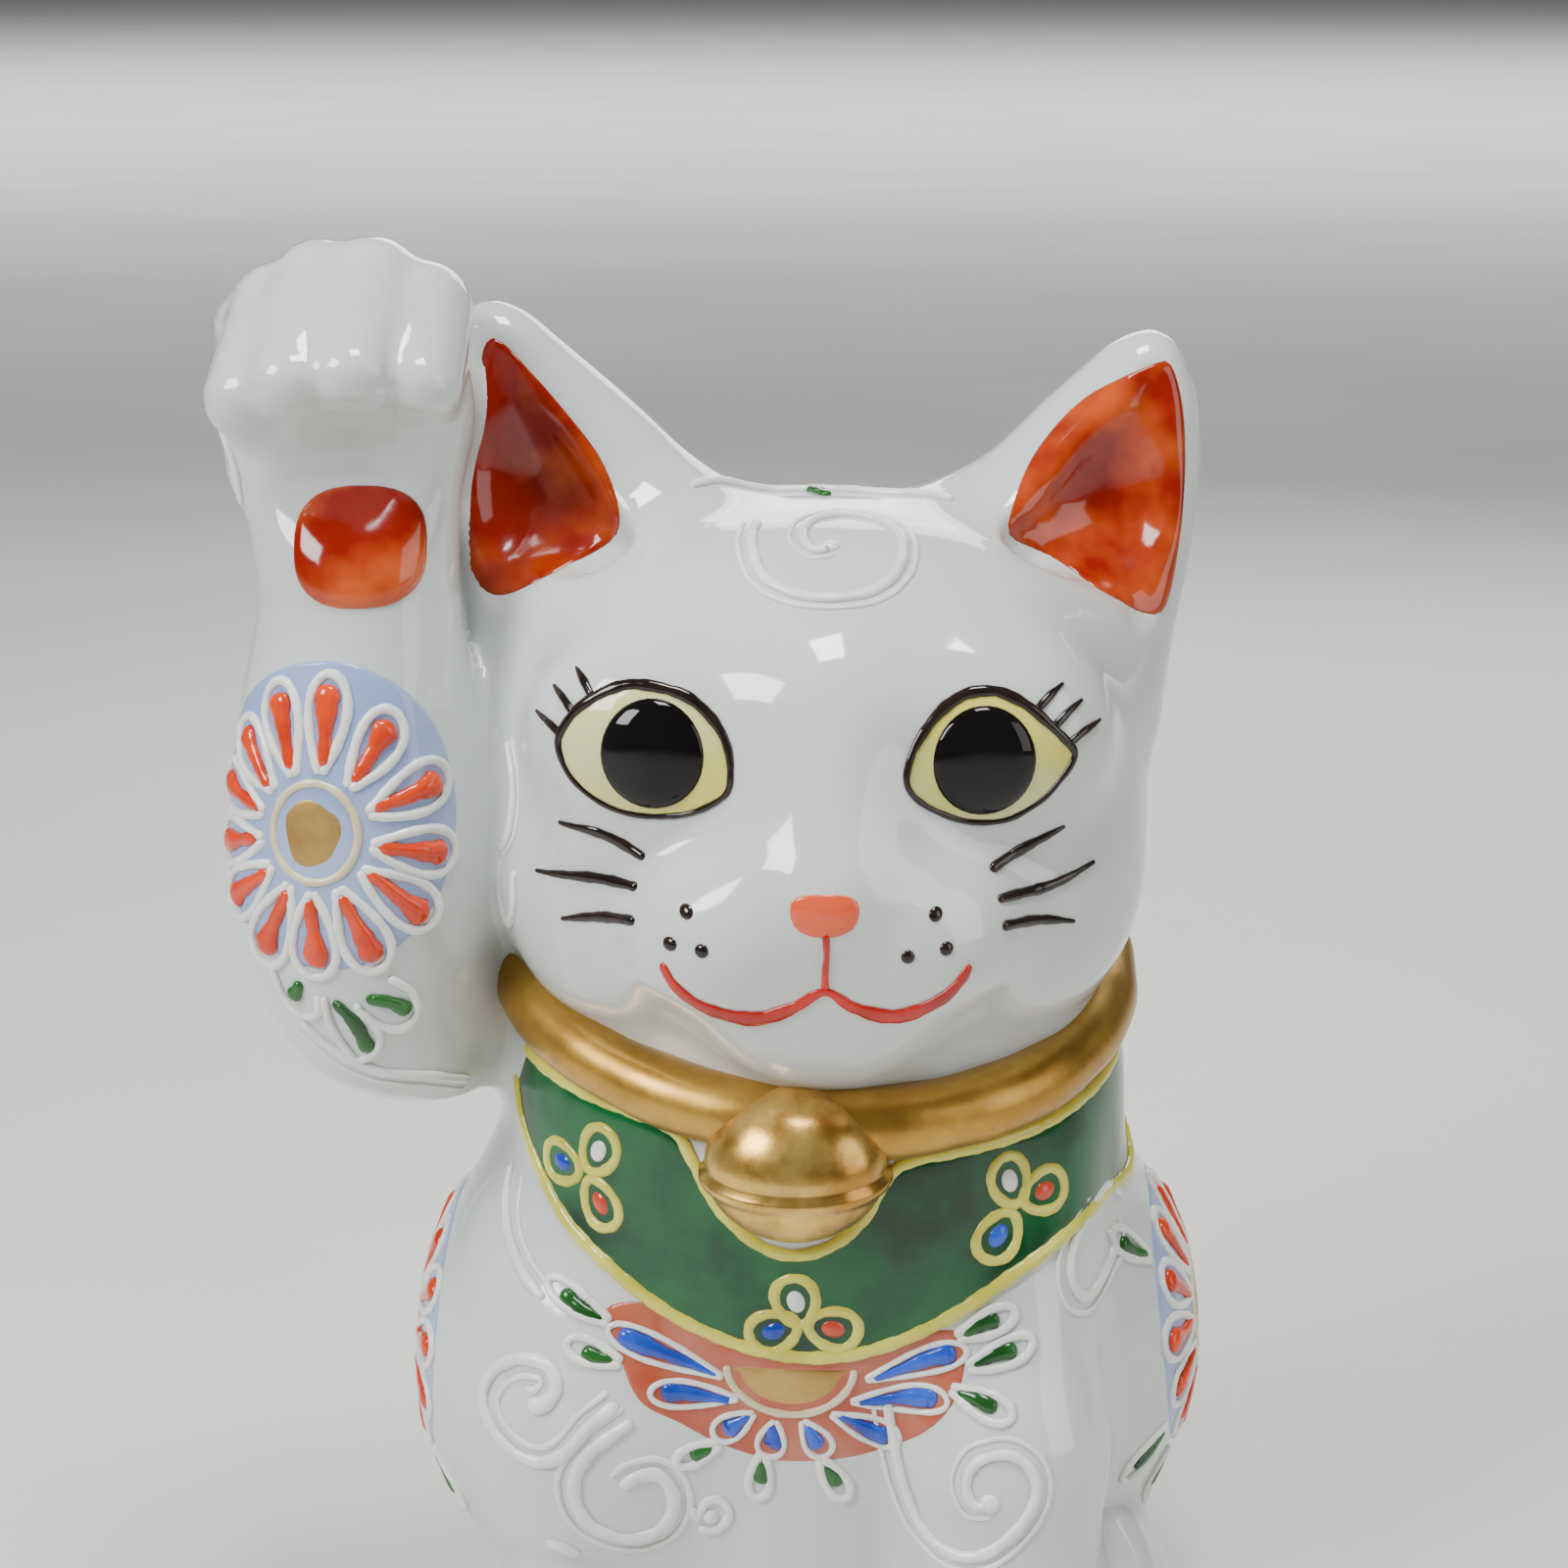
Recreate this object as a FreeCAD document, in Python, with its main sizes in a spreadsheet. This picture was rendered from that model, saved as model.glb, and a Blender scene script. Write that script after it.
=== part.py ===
"""Beckoning cat figurine in glazed porcelain: hollow slip castings luted together, a gilded collar
roll and bell, and the fired enamels that stand on the glaze. Millimetres, +Z up, the cat faces -Y,
and the origin is the middle of the foot that it stands on."""

import FreeCAD, Part

import math
import os
import re

from FreeCAD import Placement, Rotation, Vector

doc = FreeCAD.newDocument("BeckoningCat")
sheet = doc.addObject("Spreadsheet::Sheet", "Dims")

UPRIGHT = Rotation(Vector(1, 0, 0), 90)  # stands a flat drawing up, its normal pointing to -Y
DIMS = set()
FINISHED = []

# ---------------------------------------------------------------- driving dimensions

CLAY = {
    "wall": 3.0,  # slip-cast wall
    "floor_wall": 4.5,  # floor of the casting, over the foot
    "vent_radius": 4.0,  # lets the air out of the hollow figure in the kiln
    "vent_back": 10.0,
    "passage_radius": 3.0,  # air way from the raised foreleg into the torso
    "collar_radius": 27.6,
    "collar_back": 1.0,  # its middle lies this far behind and below the neck's
    "collar_drop": 0.8,
    "collar_tilt": 17.0,
    "collar_roll": 3.3,
    "film": 0.4,  # thickness of flat enamel
    "bead": 0.9,  # height of a trailed line or dot
    "trail": 1.1,  # width of a trailed line
    "hair": 0.7,  # width of a brushed black line
    "reach": 60.0,  # how far a motif's prism runs out, past any surface
}

# The sections of each casting from its lowest up: name, height, half width, half depth, x, y, tilt.
NECK = ("neck", 79.5, 27.5, 24.5, 0, -3, 15)
STACKS = {
    "torso": [
        ("foot", 0, 32, 28, 0, 2, 0),
        ("heel", 4, 34, 30, 0, 2, 0),
        ("belly", 24, 33.5, 29.8, 0, 1, 0),
        ("waist", 46, 32, 30, 0, 0, 0),
        ("chest", 60, 31.8, 29.8, -0.5, -1, 0),
        ("shoulder", 70, 31, 28, -0.5, -2, 6),
        NECK,
    ],
    "head": [
        NECK,
        ("jaw", 88, 32, 28, 0, -3.5, 8),
        ("cheek", 98, 33.4, 28.5, 0, -3.5, 2),
        ("brow", 108, 33.2, 27.5, 0, -3, 0),
        ("forehead", 117, 30, 22.5, 0, -2, 0),
        ("crown", 122.7, 20, 14.5, 0, -1, 0),
        ("summit", 124.8, 9, 6.5, 0, -1, 0),
    ],
    "left_ear": [
        ("root", 104, 12.5, 8.5, 20, -1, 0),
        ("base", 117, 14.3, 8, 22, 0, 0),
        ("lobe", 124.5, 12.6, 7, 24.8, 0.5, 0),
        ("middle", 129, 9.9, 5.8, 27.5, 1, 0),
        ("upper", 134, 7, 4.6, 29.8, 1.5, 0),
        ("point", 138.2, 3.5, 2.8, 31.6, 2, 0),
        ("tip", 139.8, 1.5, 1.3, 32.2, 2, 0),
    ],
    "right_ear": [
        ("root", 104, 12.5, 8.5, -20, -1, 0),
        ("base", 117, 14.6, 8, -22, 0, 0),
        ("lobe", 125.5, 13.4, 7, -24, 0.5, 0),
        ("middle", 131, 10.8, 5.8, -26.6, 1, 0),
        ("upper", 136.5, 7.4, 4.6, -29.4, 1.5, 0),
        ("point", 141, 3.9, 2.9, -31.4, 2, 0),
        ("tip", 142.6, 1.7, 1.4, -32, 2, 0),
    ],
    "foreleg": [
        ("paw", 0, 10, 10, 17.5, -27.5, 0),
        ("pastern", 9, 10.4, 10.2, 17.5, -27, 0),
        ("shin", 26, 10.6, 9.8, 17.8, -24.5, 0),
        ("elbow", 44, 11.2, 9.6, 17.6, -19.5, 0),
        ("shoulder", 58, 10, 6.5, 16.8, -15.5, 0),
    ],
    "raised": [
        ("elbow", 67.5, 5, 5, -42.5, -12, 0),
        ("flare", 73, 10, 9.6, -44, -12.3, 0),
        ("lower", 81, 12, 11.2, -44.6, -12.8, 0),
        ("middle", 94, 12.3, 11.6, -44.7, -13, 0),
        ("upper", 107, 11, 10.2, -44.4, -12.5, 0),
        ("wrist", 117, 9.8, 9, -44, -11.5, 0),
        ("palm", 128, 9.6, 9.6, -44.2, -11.5, 0),
        ("knuckle", 141, 8, 8, -44.5, -12, 0),
    ],
    "tail": [
        ("root", 4, 5.6, 5.2, 5, 31.5, 0),
        ("lower", 13, 6.4, 5.8, 4, 33, 0),
        ("middle", 22, 5.8, 5.2, 1, 33, 0),
        ("upper", 30, 4.4, 4.2, -3, 32, 0),
        ("tip", 34, 1.8, 1.8, -5, 31.5, 0),
    ],
}

# Each swelling is an egg: x, y and z of its middle, then its half sizes along X, Y and Z.
SWELLINGS = {
    "right_haunch": (-20.6, -3, 35.5, 20.8, 27, 26.5),
    "left_haunch": (20, 4, 35, 20.3, 26, 24),
    "right_hind_foot": (-23.5, -17, 9, 9.5, 19, 12),
    "left_hind_foot": (27.8, -15, 9, 9.3, 19, 14),
    "front_toes": (17.5, -30.5, 7, 10.2, 9.5, 8),
    "muzzle": (-0.3, -25, 90, 17.5, 14.4, 13),
    "chin": (-0.5, -25, 79.5, 10, 7.5, 7.5),
    "paw_back": (-44.6, -9.5, 137, 12.2, 11, 11.8),
    "outer_digit": (-53, -11, 136, 4.6, 9.5, 9.5),
    "first_digit": (-50, -14.5, 137.5, 5.4, 12.4, 11.6),
    "second_digit": (-43.8, -15.5, 138.4, 5.6, 13.2, 12.2),
    "third_digit": (-37.4, -14, 137.4, 5.4, 12, 11.8),
    "upper_foreleg": (-36, -8, 73, 14, 10, 8.6),
    "right_cup": (-27.4, -7.2, 124.5, 8.4, 7.2, 14.5),
    "left_cup": (27.4, -7.2, 123.5, 8.6, 7.2, 13.6),
    "bell": (-3, -31.5, 67.2, 8.7, 6.8, 7.4),
}

# Each oval is one flat deposit that faces front: x, y, z, half width, half height, slant.
OVALS = {
    "left_eye": (15.2, -10, 106, 8.2, 6, 12),
    "right_eye": (-16.4, -10, 106, 8.2, 6, -12),
    "left_pupil": (14.7, -10, 106.2, 4.6, 5, 0),
    "right_pupil": (-15.9, -10, 106.2, 4.6, 5, 0),
    "nose": (0, -22, 93.2, 3.1, 1.8, 0),
    "palm_pad": (-42.8, -10, 121.4, 6.1, 5, 0),
}

STROKES = {
    "face_across": -0.6,
    "whisker_out": 22.8,
    "whisker_height": 94.2,
    "whisker_half": 4.6,
    "whisker_gap": 4.1,
    "whisker_fan": 15.0,
    "lash_half": 1.4,
    "lash_first": 18.0,
    "lash_step": 20.0,
    "lash_clear": 0.2,
    "spot_radius": 0.55,
    "mouth_height": 86.6,
    "mouth_radius": 7.4,
    "mouth_sweep": 118.0,
    "mouth_tilt": 8.0,
    "bib_across": -2.0,
    "bib_top": 74.0,
    "bib_half_width": 31.0,
    "bib_drop": 28.0,
    "bib_side_across": 20.0,
    "bib_side_height": 56.5,
    "bib_back": 6.0,
    "blossom_lobe": 1.9,
    "blossom_dot": 0.9,
    "petal_gap": 0.3,
    "leaf_half": 3.2,
    "leaf_half_width": 1.7,
}

# Each chrysanthemum: x, y, z, facing in degrees from the front, ground radius, heart radius, petals,
# leaves, angle of the first leaf, step from leaf to leaf.
FLOWERS = {
    "raised_foreleg": (-47, -13, 97.5, -12, 13.8, 4.2, 13, 3, 246, 26),
    "chest": (-0.8, 0, 45.4, 0, 13.4, 3.8, 14, 4, 205, 40),
    "left_haunch": (20, 6, 38, 74, 13.6, 4.2, 14, 3, 210, 30),
    "right_haunch": (-21, 4, 38, -74, 13.6, 4.2, 14, 3, 270, 30),
    "back": (0, 0, 58, 180, 13.6, 4.2, 14, 4, 225, 30),
}

# Each scroll: x, y, z, facing, outer radius, half turns, angle where it begins, 1 or -1 for its hand.
SCROLLS = {
    "raised_foreleg": [],
    "chest": [],
    "left_haunch": [],
    "right_haunch": [(-28.6, -1, 42, -10, 5.2, 3, 300, -1), (-20, -1, 30.5, -4, 5.4, 3, 60, -1)],
    "back": [(-15, 4, 27, 200, 5.2, 3, 60, 1), (17, 4, 27, 160, 5.2, 3, 120, -1)],
    "standing": [(17.2, -20, 32, 0, 5.6, 3, 130, -1)],
    "crown": [(0.4, -2, 117.4, 0, 4.6, 3, 200, 1)],
    "nape": [(-14, 0, 101, 200, 6.2, 3, 40, 1), (14, 0, 101, 160, 6.2, 3, 140, -1)],
}

# Spots on one side of the muzzle, from the nose, and the blossoms on the bib: x, z, turn.
MUZZLE_SPOTS = ((10.3, 0.2), (8.3, -3.2), (12.2, -2.7))
BLOSSOMS = ((-22.5, 62.0, 160), (19.4, 60.5, 250), (-2.0, 50.6, 90))

SECTION_WORDS = ("height", "wide", "deep", "across", "along", "tilt")
EGG_WORDS = ("across", "along", "height", "wide", "deep", "tall")
OVAL_WORDS = ("across", "along", "height", "wide", "tall", "slant")
FLOWER_WORDS = ("across", "along", "height", "facing", "ground", "heart", "petals")
LEAF_WORDS = ("leaves", "leaf_start", "leaf_step")
SCROLL_WORDS = ("across", "along", "height", "facing", "radius", "halves", "start", "hand")


# ---------------------------------------------------------------- the sheet and its bindings


def put(alias, value):
    """Writes one driving dimension as a plain number with an alias."""
    if alias in DIMS:
        return
    DIMS.add(alias)
    sheet.set(f"A{len(DIMS)}", alias)
    sheet.set(f"B{len(DIMS)}", str(value))
    sheet.setAlias(f"B{len(DIMS)}", alias)


def put_row(stem, words, values):
    for word, value in zip(words, values):
        put(f"{stem}_{word}", value)


def section_stem(stack, section):
    """The neck is one section that the torso and the head share."""
    return "neck" if section == "neck" else f"{stack}_{section}"


def fill_sheet():
    for group in (CLAY, STROKES):
        for alias, value in group.items():
            put(alias, value)
    for stack, sections in STACKS.items():
        for section in sections:
            put_row(section_stem(stack, section[0]), SECTION_WORDS, section[1:])
    for table, words in ((SWELLINGS, EGG_WORDS), (OVALS, OVAL_WORDS)):
        for name, values in table.items():
            put_row(name, words, values)
    for name, values in FLOWERS.items():
        put_row(f"{name}_flower", FLOWER_WORDS + LEAF_WORDS, values)
    for name, rows in SCROLLS.items():
        for number, values in enumerate(rows):
            put_row(f"{name}_scroll_{number}_row", SCROLL_WORDS, values)
    doc.recompute()


def size(alias):
    """Reads one driving dimension back from the sheet."""
    return float(sheet.get(alias))


def bind(thing, **formulas):
    """Binds properties to formulas, in which any alias of the sheet stands as a word."""
    for name, formula in formulas.items():
        text = re.sub(r"[a-z][a-z_]*[a-z]", lambda word: dotted(word[0]), str(formula))
        thing.setExpression(name.replace("__", "."), text)
    return thing


def dotted(word):
    return f"Dims.{word}" if word in DIMS else word


def make(kind, label, **values):
    thing = doc.addObject(kind, label)
    for name, value in values.items():
        setattr(thing, name, value)
    return thing


def place(thing, x, y, z):
    return bind(thing, Placement__Base__x=x, Placement__Base__y=y, Placement__Base__z=z)


def fuse(label, *shapes):
    return make("Part::MultiFuse", label, Shapes=list(shapes))


def common(label, base, tool):
    return make("Part::Common", label, Base=base, Tool=tool)


def cut(label, base, *tools):
    for tool in tools:
        base = make("Part::Cut", label, Base=base, Tool=tool)
    return base


def finish(thing, label):
    """Marks an object as a sub-part of the figurine and gives it the name of its file."""
    thing.Label = label
    FINISHED.append(thing)
    return thing


# ---------------------------------------------------------------- forms that the castings share


def stack_form(stack, grow="0"):
    """A form lofted through the sections of a stack, their half sizes grown by a formula."""
    rings = []
    last = len(STACKS[stack]) - 1
    for number, section in enumerate(STACKS[stack]):
        stem = section_stem(stack, section[0])
        ring = make("Part::Ellipse", f"{stem}_ring")
        tilt = Rotation(Vector(1, 0, 0), section[6])
        if section[2] < section[3]:
            tilt = tilt * Rotation(Vector(0, 0, 1), 90)
        ring.Placement = Placement(Vector(), tilt)
        bind(ring, MajorRadius=f"max({stem}_wide; {stem}_deep) + ({grow})")
        bind(ring, MinorRadius=f"min({stem}_wide; {stem}_deep) + ({grow})")
        rise = "0" if section[0] in ("neck", "foot", "paw") else {0: f"-({grow})", last: grow}.get(number, "0")
        place(ring, f"{stem}_across", f"{stem}_along", f"{stem}_height + ({rise})")
        rings.append(ring)
    return make("Part::Loft", f"{stack}_form", Sections=rings, Solid=True, Ruled=False)


def egg(name, grow="0"):
    """A swelling whose half sizes are grown by a formula."""
    thing = make("Part::Ellipsoid", f"{name}_egg", Angle1=-90, Angle2=90, Angle3=360)
    bind(thing, Radius1=f"{name}_tall + ({grow})")
    bind(thing, Radius2=f"{name}_wide + ({grow})", Radius3=f"{name}_deep + ({grow})")
    return place(thing, f"{name}_across", f"{name}_along", f"{name}_height")


def eggs(names, grow="0"):
    return [egg(name, grow) for name in names]


def drum(label, radius, height, x, y, z):
    return place(bind(make("Part::Cylinder", label), Radius=radius, Height=height), x, y, z)


# ---------------------------------------------------------------- castings


def torso_casting():
    """Torso, haunches, hind feet and standing foreleg: hollow, open at the neck, with a vent in the foot."""
    lumps = eggs(("right_haunch", "left_haunch", "right_hind_foot", "left_hind_foot", "front_toes"))
    table = bind(make("Part::Box", "table"), Length="4 * reach", Width="4 * reach", Height="reach")
    place(table, "-2 * reach", "-2 * reach", "-reach")
    solid = cut("torso_solid", fuse("torso_lumps", stack_form("torso"), stack_form("foreleg"), *lumps), table)
    hollow = fuse("torso_hollow", stack_form("torso", "-wall"), *eggs(("right_haunch", "left_haunch"), "-wall"))
    floor = bind(make("Part::Box", "floor"), Length="4 * reach", Width="4 * reach", Height="reach + floor_wall")
    place(floor, "-2 * reach", "-2 * reach", "-reach")
    vent = drum("vent", "vent_radius", "2 * floor_wall", "0", "vent_back", "-floor_wall / 2")
    passage = passage_bore()
    return solid, cut("torso_clay", solid, cut("torso_void", hollow, floor), vent, passage)


def passage_bore():
    """The bore through the shoulder's wall where the raised foreleg is luted on."""
    bore = make("Part::Cylinder", "passage")
    bore.Placement = Placement(Vector(), Rotation(Vector(0, 1, 0), -90))
    bind(bore, Radius="passage_radius", Height="2 * collar_roll + 2 * wall")
    return place(bore, "-torso_chest_wide + 2 * wall", "upper_foreleg_along", "upper_foreleg_height - wall")


def head_casting():
    """Head with muzzle, chin and ears, hollow and open at the neck, with a cup in each ear."""
    face = [stack_form("head")] + eggs(("muzzle", "chin"))
    below = below_neck()
    solid = cut("head_solid", fuse("head_lumps", *face, stack_form("left_ear"), stack_form("right_ear")), below)
    return solid, cut("head_clay", solid, stack_form("head", "-wall"), egg("left_cup"), egg("right_cup"))


def below_neck():
    """Everything under the plane on which the head sits on the torso."""
    block = bind(make("Part::Box", "below_neck"), Length="2 * reach", Width="2 * reach", Height="reach")
    tilt = STACKS["torso"][-1][6]
    block.Placement = Placement(Vector(), Rotation(Vector(1, 0, 0), tilt))
    bind(block, Placement__Rotation__Angle="neck_tilt")
    along = "neck_along - reach * cos(neck_tilt) + reach * sin(neck_tilt)"
    return place(block, "-reach", along, "neck_height - reach * sin(neck_tilt) - reach * cos(neck_tilt)")


def raised_casting(torso, head):
    """The raised foreleg and its paw: hollow, fitted to the torso and to the side of the head."""
    digits = eggs(("paw_back", "outer_digit", "first_digit", "second_digit", "third_digit"))
    solid = fuse("raised_lumps", stack_form("raised"), egg("upper_foreleg"), *digits)
    hollow = fuse("raised_hollow", stack_form("raised", "-wall"), egg("upper_foreleg", "-wall"))
    return cut("raised_fitted", solid, torso, head), hollow


def tail_casting(torso):
    return cut("tail_fitted", stack_form("tail"), torso)


def collar_roll(torso, head):
    """The collar: a roll of clay laid round the neck joint, fitted to what it lies on."""
    roll = bind(make("Part::Torus", "collar_ring"), Radius1="collar_radius", Radius2="collar_roll")
    roll.Placement = Placement(Vector(), Rotation(Vector(1, 0, 0), 1))
    bind(roll, Placement__Rotation__Angle="collar_tilt")
    place(roll, "neck_across", "neck_along + collar_back", "neck_height - collar_drop")
    return cut("collar_fitted", roll, torso, head)


def bell(torso, head, collar):
    """The bell: a hollow-looking pressed lump on the collar's front, under the chin."""
    return cut("bell_fitted", egg("bell"), torso, head, collar)


# ---------------------------------------------------------------- flat drawings of the motifs


def polar(radius, angle, x=0.0, y=0.0):
    """The point at a radius and an angle in degrees from a middle."""
    turn = math.radians(angle)
    return Vector(x + radius * math.cos(turn), y + radius * math.sin(turn), 0)


def arc(start, middle, end):
    return Part.Arc(start, middle, end).toShape()


def line(start, end):
    return Part.LineSegment(start, end).toShape()


def face(*wires):
    """A face inside the first outline, with the others as holes."""
    return Part.Face(list(wires), "Part::FaceMakerBullseye")


def oval(wide, tall, x=0.0, y=0.0, angle=0.0):
    """An oval outline, its first half size along an angle in degrees."""
    edge = Part.Ellipse(Vector(), max(wide, tall), min(wide, tall)).toShape()
    turn = angle if wide >= tall else angle + 90
    edge.Placement = Placement(Vector(x, y, 0), Rotation(Vector(0, 0, 1), turn))
    return Part.Wire(edge)


def loop(wide, tall, x=0.0, y=0.0, angle=0.0):
    """An oval trailed as a line inside its outline."""
    trail = size("trail")
    return face(oval(wide, tall, x, y, angle), oval(wide - trail, tall - trail, x, y, angle))


def petal(near, near_half, far, far_half, angle):
    """A petal's outline: straight flanks that open outwards, with an arc at each end."""
    turn = Rotation(Vector(0, 0, 1), angle)
    spots = [(near, -near_half), (far, -far_half), (far + far_half, 0)]
    spots += [(far, far_half), (near, near_half), (near - 0.8 * near_half, 0)]
    a, b, c, d, e, f = [turn.multVec(Vector(x, y, 0)) for x, y in spots]
    return Part.Wire([line(a, b), arc(b, c, d), line(d, e), arc(e, f, a)])


def bend(x, y, radius, start, sweep, width):
    """A brushed line bent to an arc about a middle, square at its ends."""
    rims = []
    for rim in (radius + width / 2, radius - width / 2):
        rims.append([polar(rim, start + sweep * part, x, y) for part in (0, 0.5, 1)])
    (a, b, c), (d, e, f) = rims
    return face(Part.Wire([arc(a, b, c), line(c, f), arc(f, e, d), line(d, a)]))


def volute(radius, halves, start, hand):
    """A scroll: half circles that shrink by one step each, trailed as one line."""
    half = size("trail") / 2
    step = radius / (halves + 0.8)
    x = y = 0.0
    outer, inner = [], []
    for number in range(int(halves)):
        angle = start + hand * 180 * number
        if number:
            middle = polar(step, angle, x, y)
            x, y = middle.x, middle.y
        for rim, rims in ((half, outer), (-half, inner)):
            radius_here = radius - number * step + rim
            rims.append([polar(radius_here, angle + hand * turn, x, y) for turn in (0, 90, 180)])
    edges = [arc(*rim) for rim in outer + inner]
    edges += [line(outer[0][0], inner[0][0]), line(outer[-1][2], inner[-1][2])]
    return face(Part.Wire(Part.__sortEdges__(edges)))


def merged(first, *others):
    """One drawing from several that overlap."""
    return first.multiFuse(list(others)).removeSplitter()


# ---------------------------------------------------------------- deposits on the glaze


def layers(label, form):
    """The three layers over a form: flat film, bead standing on the glaze, bead standing on film."""
    glaze, film, bead = (form(grow) for grow in ("0", "film", "bead"))
    flat = cut(f"{label}_film", film, glaze)
    raised = cut(f"{label}_bead", bead, glaze)
    return {"film": flat, "bead": raised, "over": cut(f"{label}_over", bead, film)}


def deposit(label, spots, layer, *clear_of):
    """Drawings run out from spots inside a form, kept where they meet one layer over the form."""
    prisms = []
    for drawing, (x, y, z, facing) in spots:
        prism = drawing.extrude(Vector(0, 0, size("reach")))
        prism.Placement = Placement(Vector(x, y, z), Rotation(Vector(0, 0, 1), facing) * UPRIGHT)
        prisms.append(prism)
    shape = prisms[0] if len(prisms) == 1 else Part.Compound(prisms)
    prism = make("Part::Feature", f"{label}_prism", Shape=shape)
    return finish(cut(f"{label}_clear", common(f"{label}_cut", prism, layer), *clear_of), label)


def front(stem):
    """A spot that faces front, read from the sheet."""
    return tuple(size(f"{stem}_{word}") for word in ("across", "along", "height")) + (0,)


def eyes(head_layers):
    """Each eye: yellow ground, domed pupil, the thin outline round them, and the lashes."""
    hair = size("hair")
    lash_spots = []
    for side, hand in (("left", 1), ("right", -1)):
        wide, tall, slant = (size(f"{side}_eye_{word}") for word in ("wide", "tall", "slant"))
        spot = front(f"{side}_eye")
        off_x = size(f"{side}_pupil_across") - spot[0]
        off_y = size(f"{side}_pupil_height") - spot[2]
        pupil = oval(size(f"{side}_pupil_wide"), size(f"{side}_pupil_tall"), off_x, off_y)
        ground = oval(wide - hair, tall - hair, angle=slant)
        outline = face(oval(wide, tall, angle=slant), ground)
        deposit(f"{side}_eye_ground", [(face(ground, pupil), spot)], head_layers["film"])
        deposit(f"{side}_pupil", [(face(pupil), spot)], head_layers["bead"])
        deposit(f"{side}_eye_outline", [(outline, spot)], head_layers["film"])
        lash_spots.append((lashes(wide, tall, slant, hand), spot))
    deposit("lashes", lash_spots, head_layers["film"])


def lashes(wide, tall, slant, hand):
    """Three lashes that fan out from the upper outer corner of an eye."""
    half, clear = size("lash_half"), size("lash_clear")
    turn = Rotation(Vector(0, 0, 1), slant)
    flats = []
    for number in range(3):
        angle = size("lash_first") + size("lash_step") * number
        edge = polar(1, angle)
        at = turn.multVec(Vector(hand * (wide + half + clear) * edge.x, (tall + half + clear) * edge.y, 0))
        flats.append(face(oval(half, size("hair") / 2, at.x, at.y, 90 - hand * (90 - angle) + slant)))
    return Part.Compound(flats)


def whiskers(head_layers):
    """Three whiskers brushed on each cheek, fanned about the middle one."""
    out, half, gap = size("whisker_out"), size("whisker_half"), size("whisker_gap")
    spots = []
    for hand in (1, -1):
        flats = []
        for number in (-1, 0, 1):
            angle = hand * size("whisker_fan") * (number + 0.5)
            flats.append(face(oval(half, size("hair") / 2, 0, number * gap, angle)))
        spot = (size("face_across") + hand * out, front("left_eye")[1], size("whisker_height"), 0)
        spots.append((Part.Compound(flats), spot))
    deposit("whiskers", spots, head_layers["film"])


def mouth(muzzle_layers):
    """Nose, the line under it with the two curves of the mouth, and three spots on each side."""
    spot = front("nose")
    tall, trail = size("nose_tall"), size("trail")
    deposit("nose", [(face(oval(size("nose_wide"), tall)), spot)], muzzle_layers["film"])
    radius, sweep, tilt = size("mouth_radius"), size("mouth_sweep"), size("mouth_tilt")
    join = size("mouth_height") - spot[2]
    stem = Part.makePlane(trail, -tall - join, Vector(-trail / 2, join, 0))
    curves = []
    for hand in (1, -1):
        start = 270 - hand * (sweep / 2 - tilt)
        inner = polar(radius, start)
        curves.append(bend(-inner.x, join - inner.y, radius, start, hand * sweep, trail))
    deposit("mouth_line", [(merged(stem, *curves), spot)], muzzle_layers["film"])
    flats = []
    for hand in (1, -1):
        for x, y in MUZZLE_SPOTS:
            flats.append(face(oval(1.2 * size("spot_radius"), size("spot_radius"), hand * x, y)))
    deposit("muzzle_spots", [(Part.Compound(flats), spot)], muzzle_layers["film"])


def ear_reds(head_solid):
    """The iron red that floods the cup in each ear."""
    for side in ("left", "right"):
        lining = cut(f"{side}_lining", egg(f"{side}_cup"), egg(f"{side}_cup", "-film"))
        finish(common(f"{side}_red", head_solid, lining), f"{side}_ear_red")


def bib(body_layers, *clear_of):
    """The bib: green ground, yellow border trail, and three blossoms with a dot of each colour."""
    x, z, trail = size("bib_across"), size("bib_top"), size("trail")
    wide, drop = size("bib_half_width"), size("bib_drop")
    corner = Vector(size("bib_side_across") - x, size("bib_side_height") - z, 0)
    inner = corner + Vector(0, trail, 0)
    reach = size("reach")
    spot = (x, -size("bib_back"), z, 0)
    outline = merged(face(oval(wide, drop)), Part.makePlane(reach, reach, corner))
    inset = merged(face(oval(wide - trail, drop - trail)), Part.makePlane(reach, reach, inner))
    deposit("bib_ground", [(inset, spot)], body_layers["film"], *clear_of)
    deposit("bib_border_trail", [(outline.cut(inset), spot)], body_layers["bead"], *clear_of)
    lobe, dot = size("blossom_lobe"), size("blossom_dot")
    rings, dots = [], {"blue": [], "white": [], "red": []}
    for across, height, turn in BLOSSOMS:
        lobes = {}
        for number, colour in enumerate(dots):
            lobes[colour] = polar(1.1 * lobe, turn + 120 * number, across, height - z)
            dots[colour].append(face(oval(dot, dot * 0.99, lobes[colour].x, lobes[colour].y)))
        rims = [face(oval(lobe, lobe * 0.99, at.x, at.y)) for at in lobes.values()]
        hole = dot + size("petal_gap") / 2
        holes = [face(oval(hole, hole * 0.99, at.x, at.y)) for at in lobes.values()]
        rings.append(merged(*rims).cut(holes))
    deposit("bib_blossom_rings", [(Part.Compound(rings), spot)], body_layers["over"])
    for colour, flats in dots.items():
        deposit(f"bib_{colour}_dots", [(Part.Compound(flats), spot)], body_layers["over"])
    return outline, spot


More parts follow.
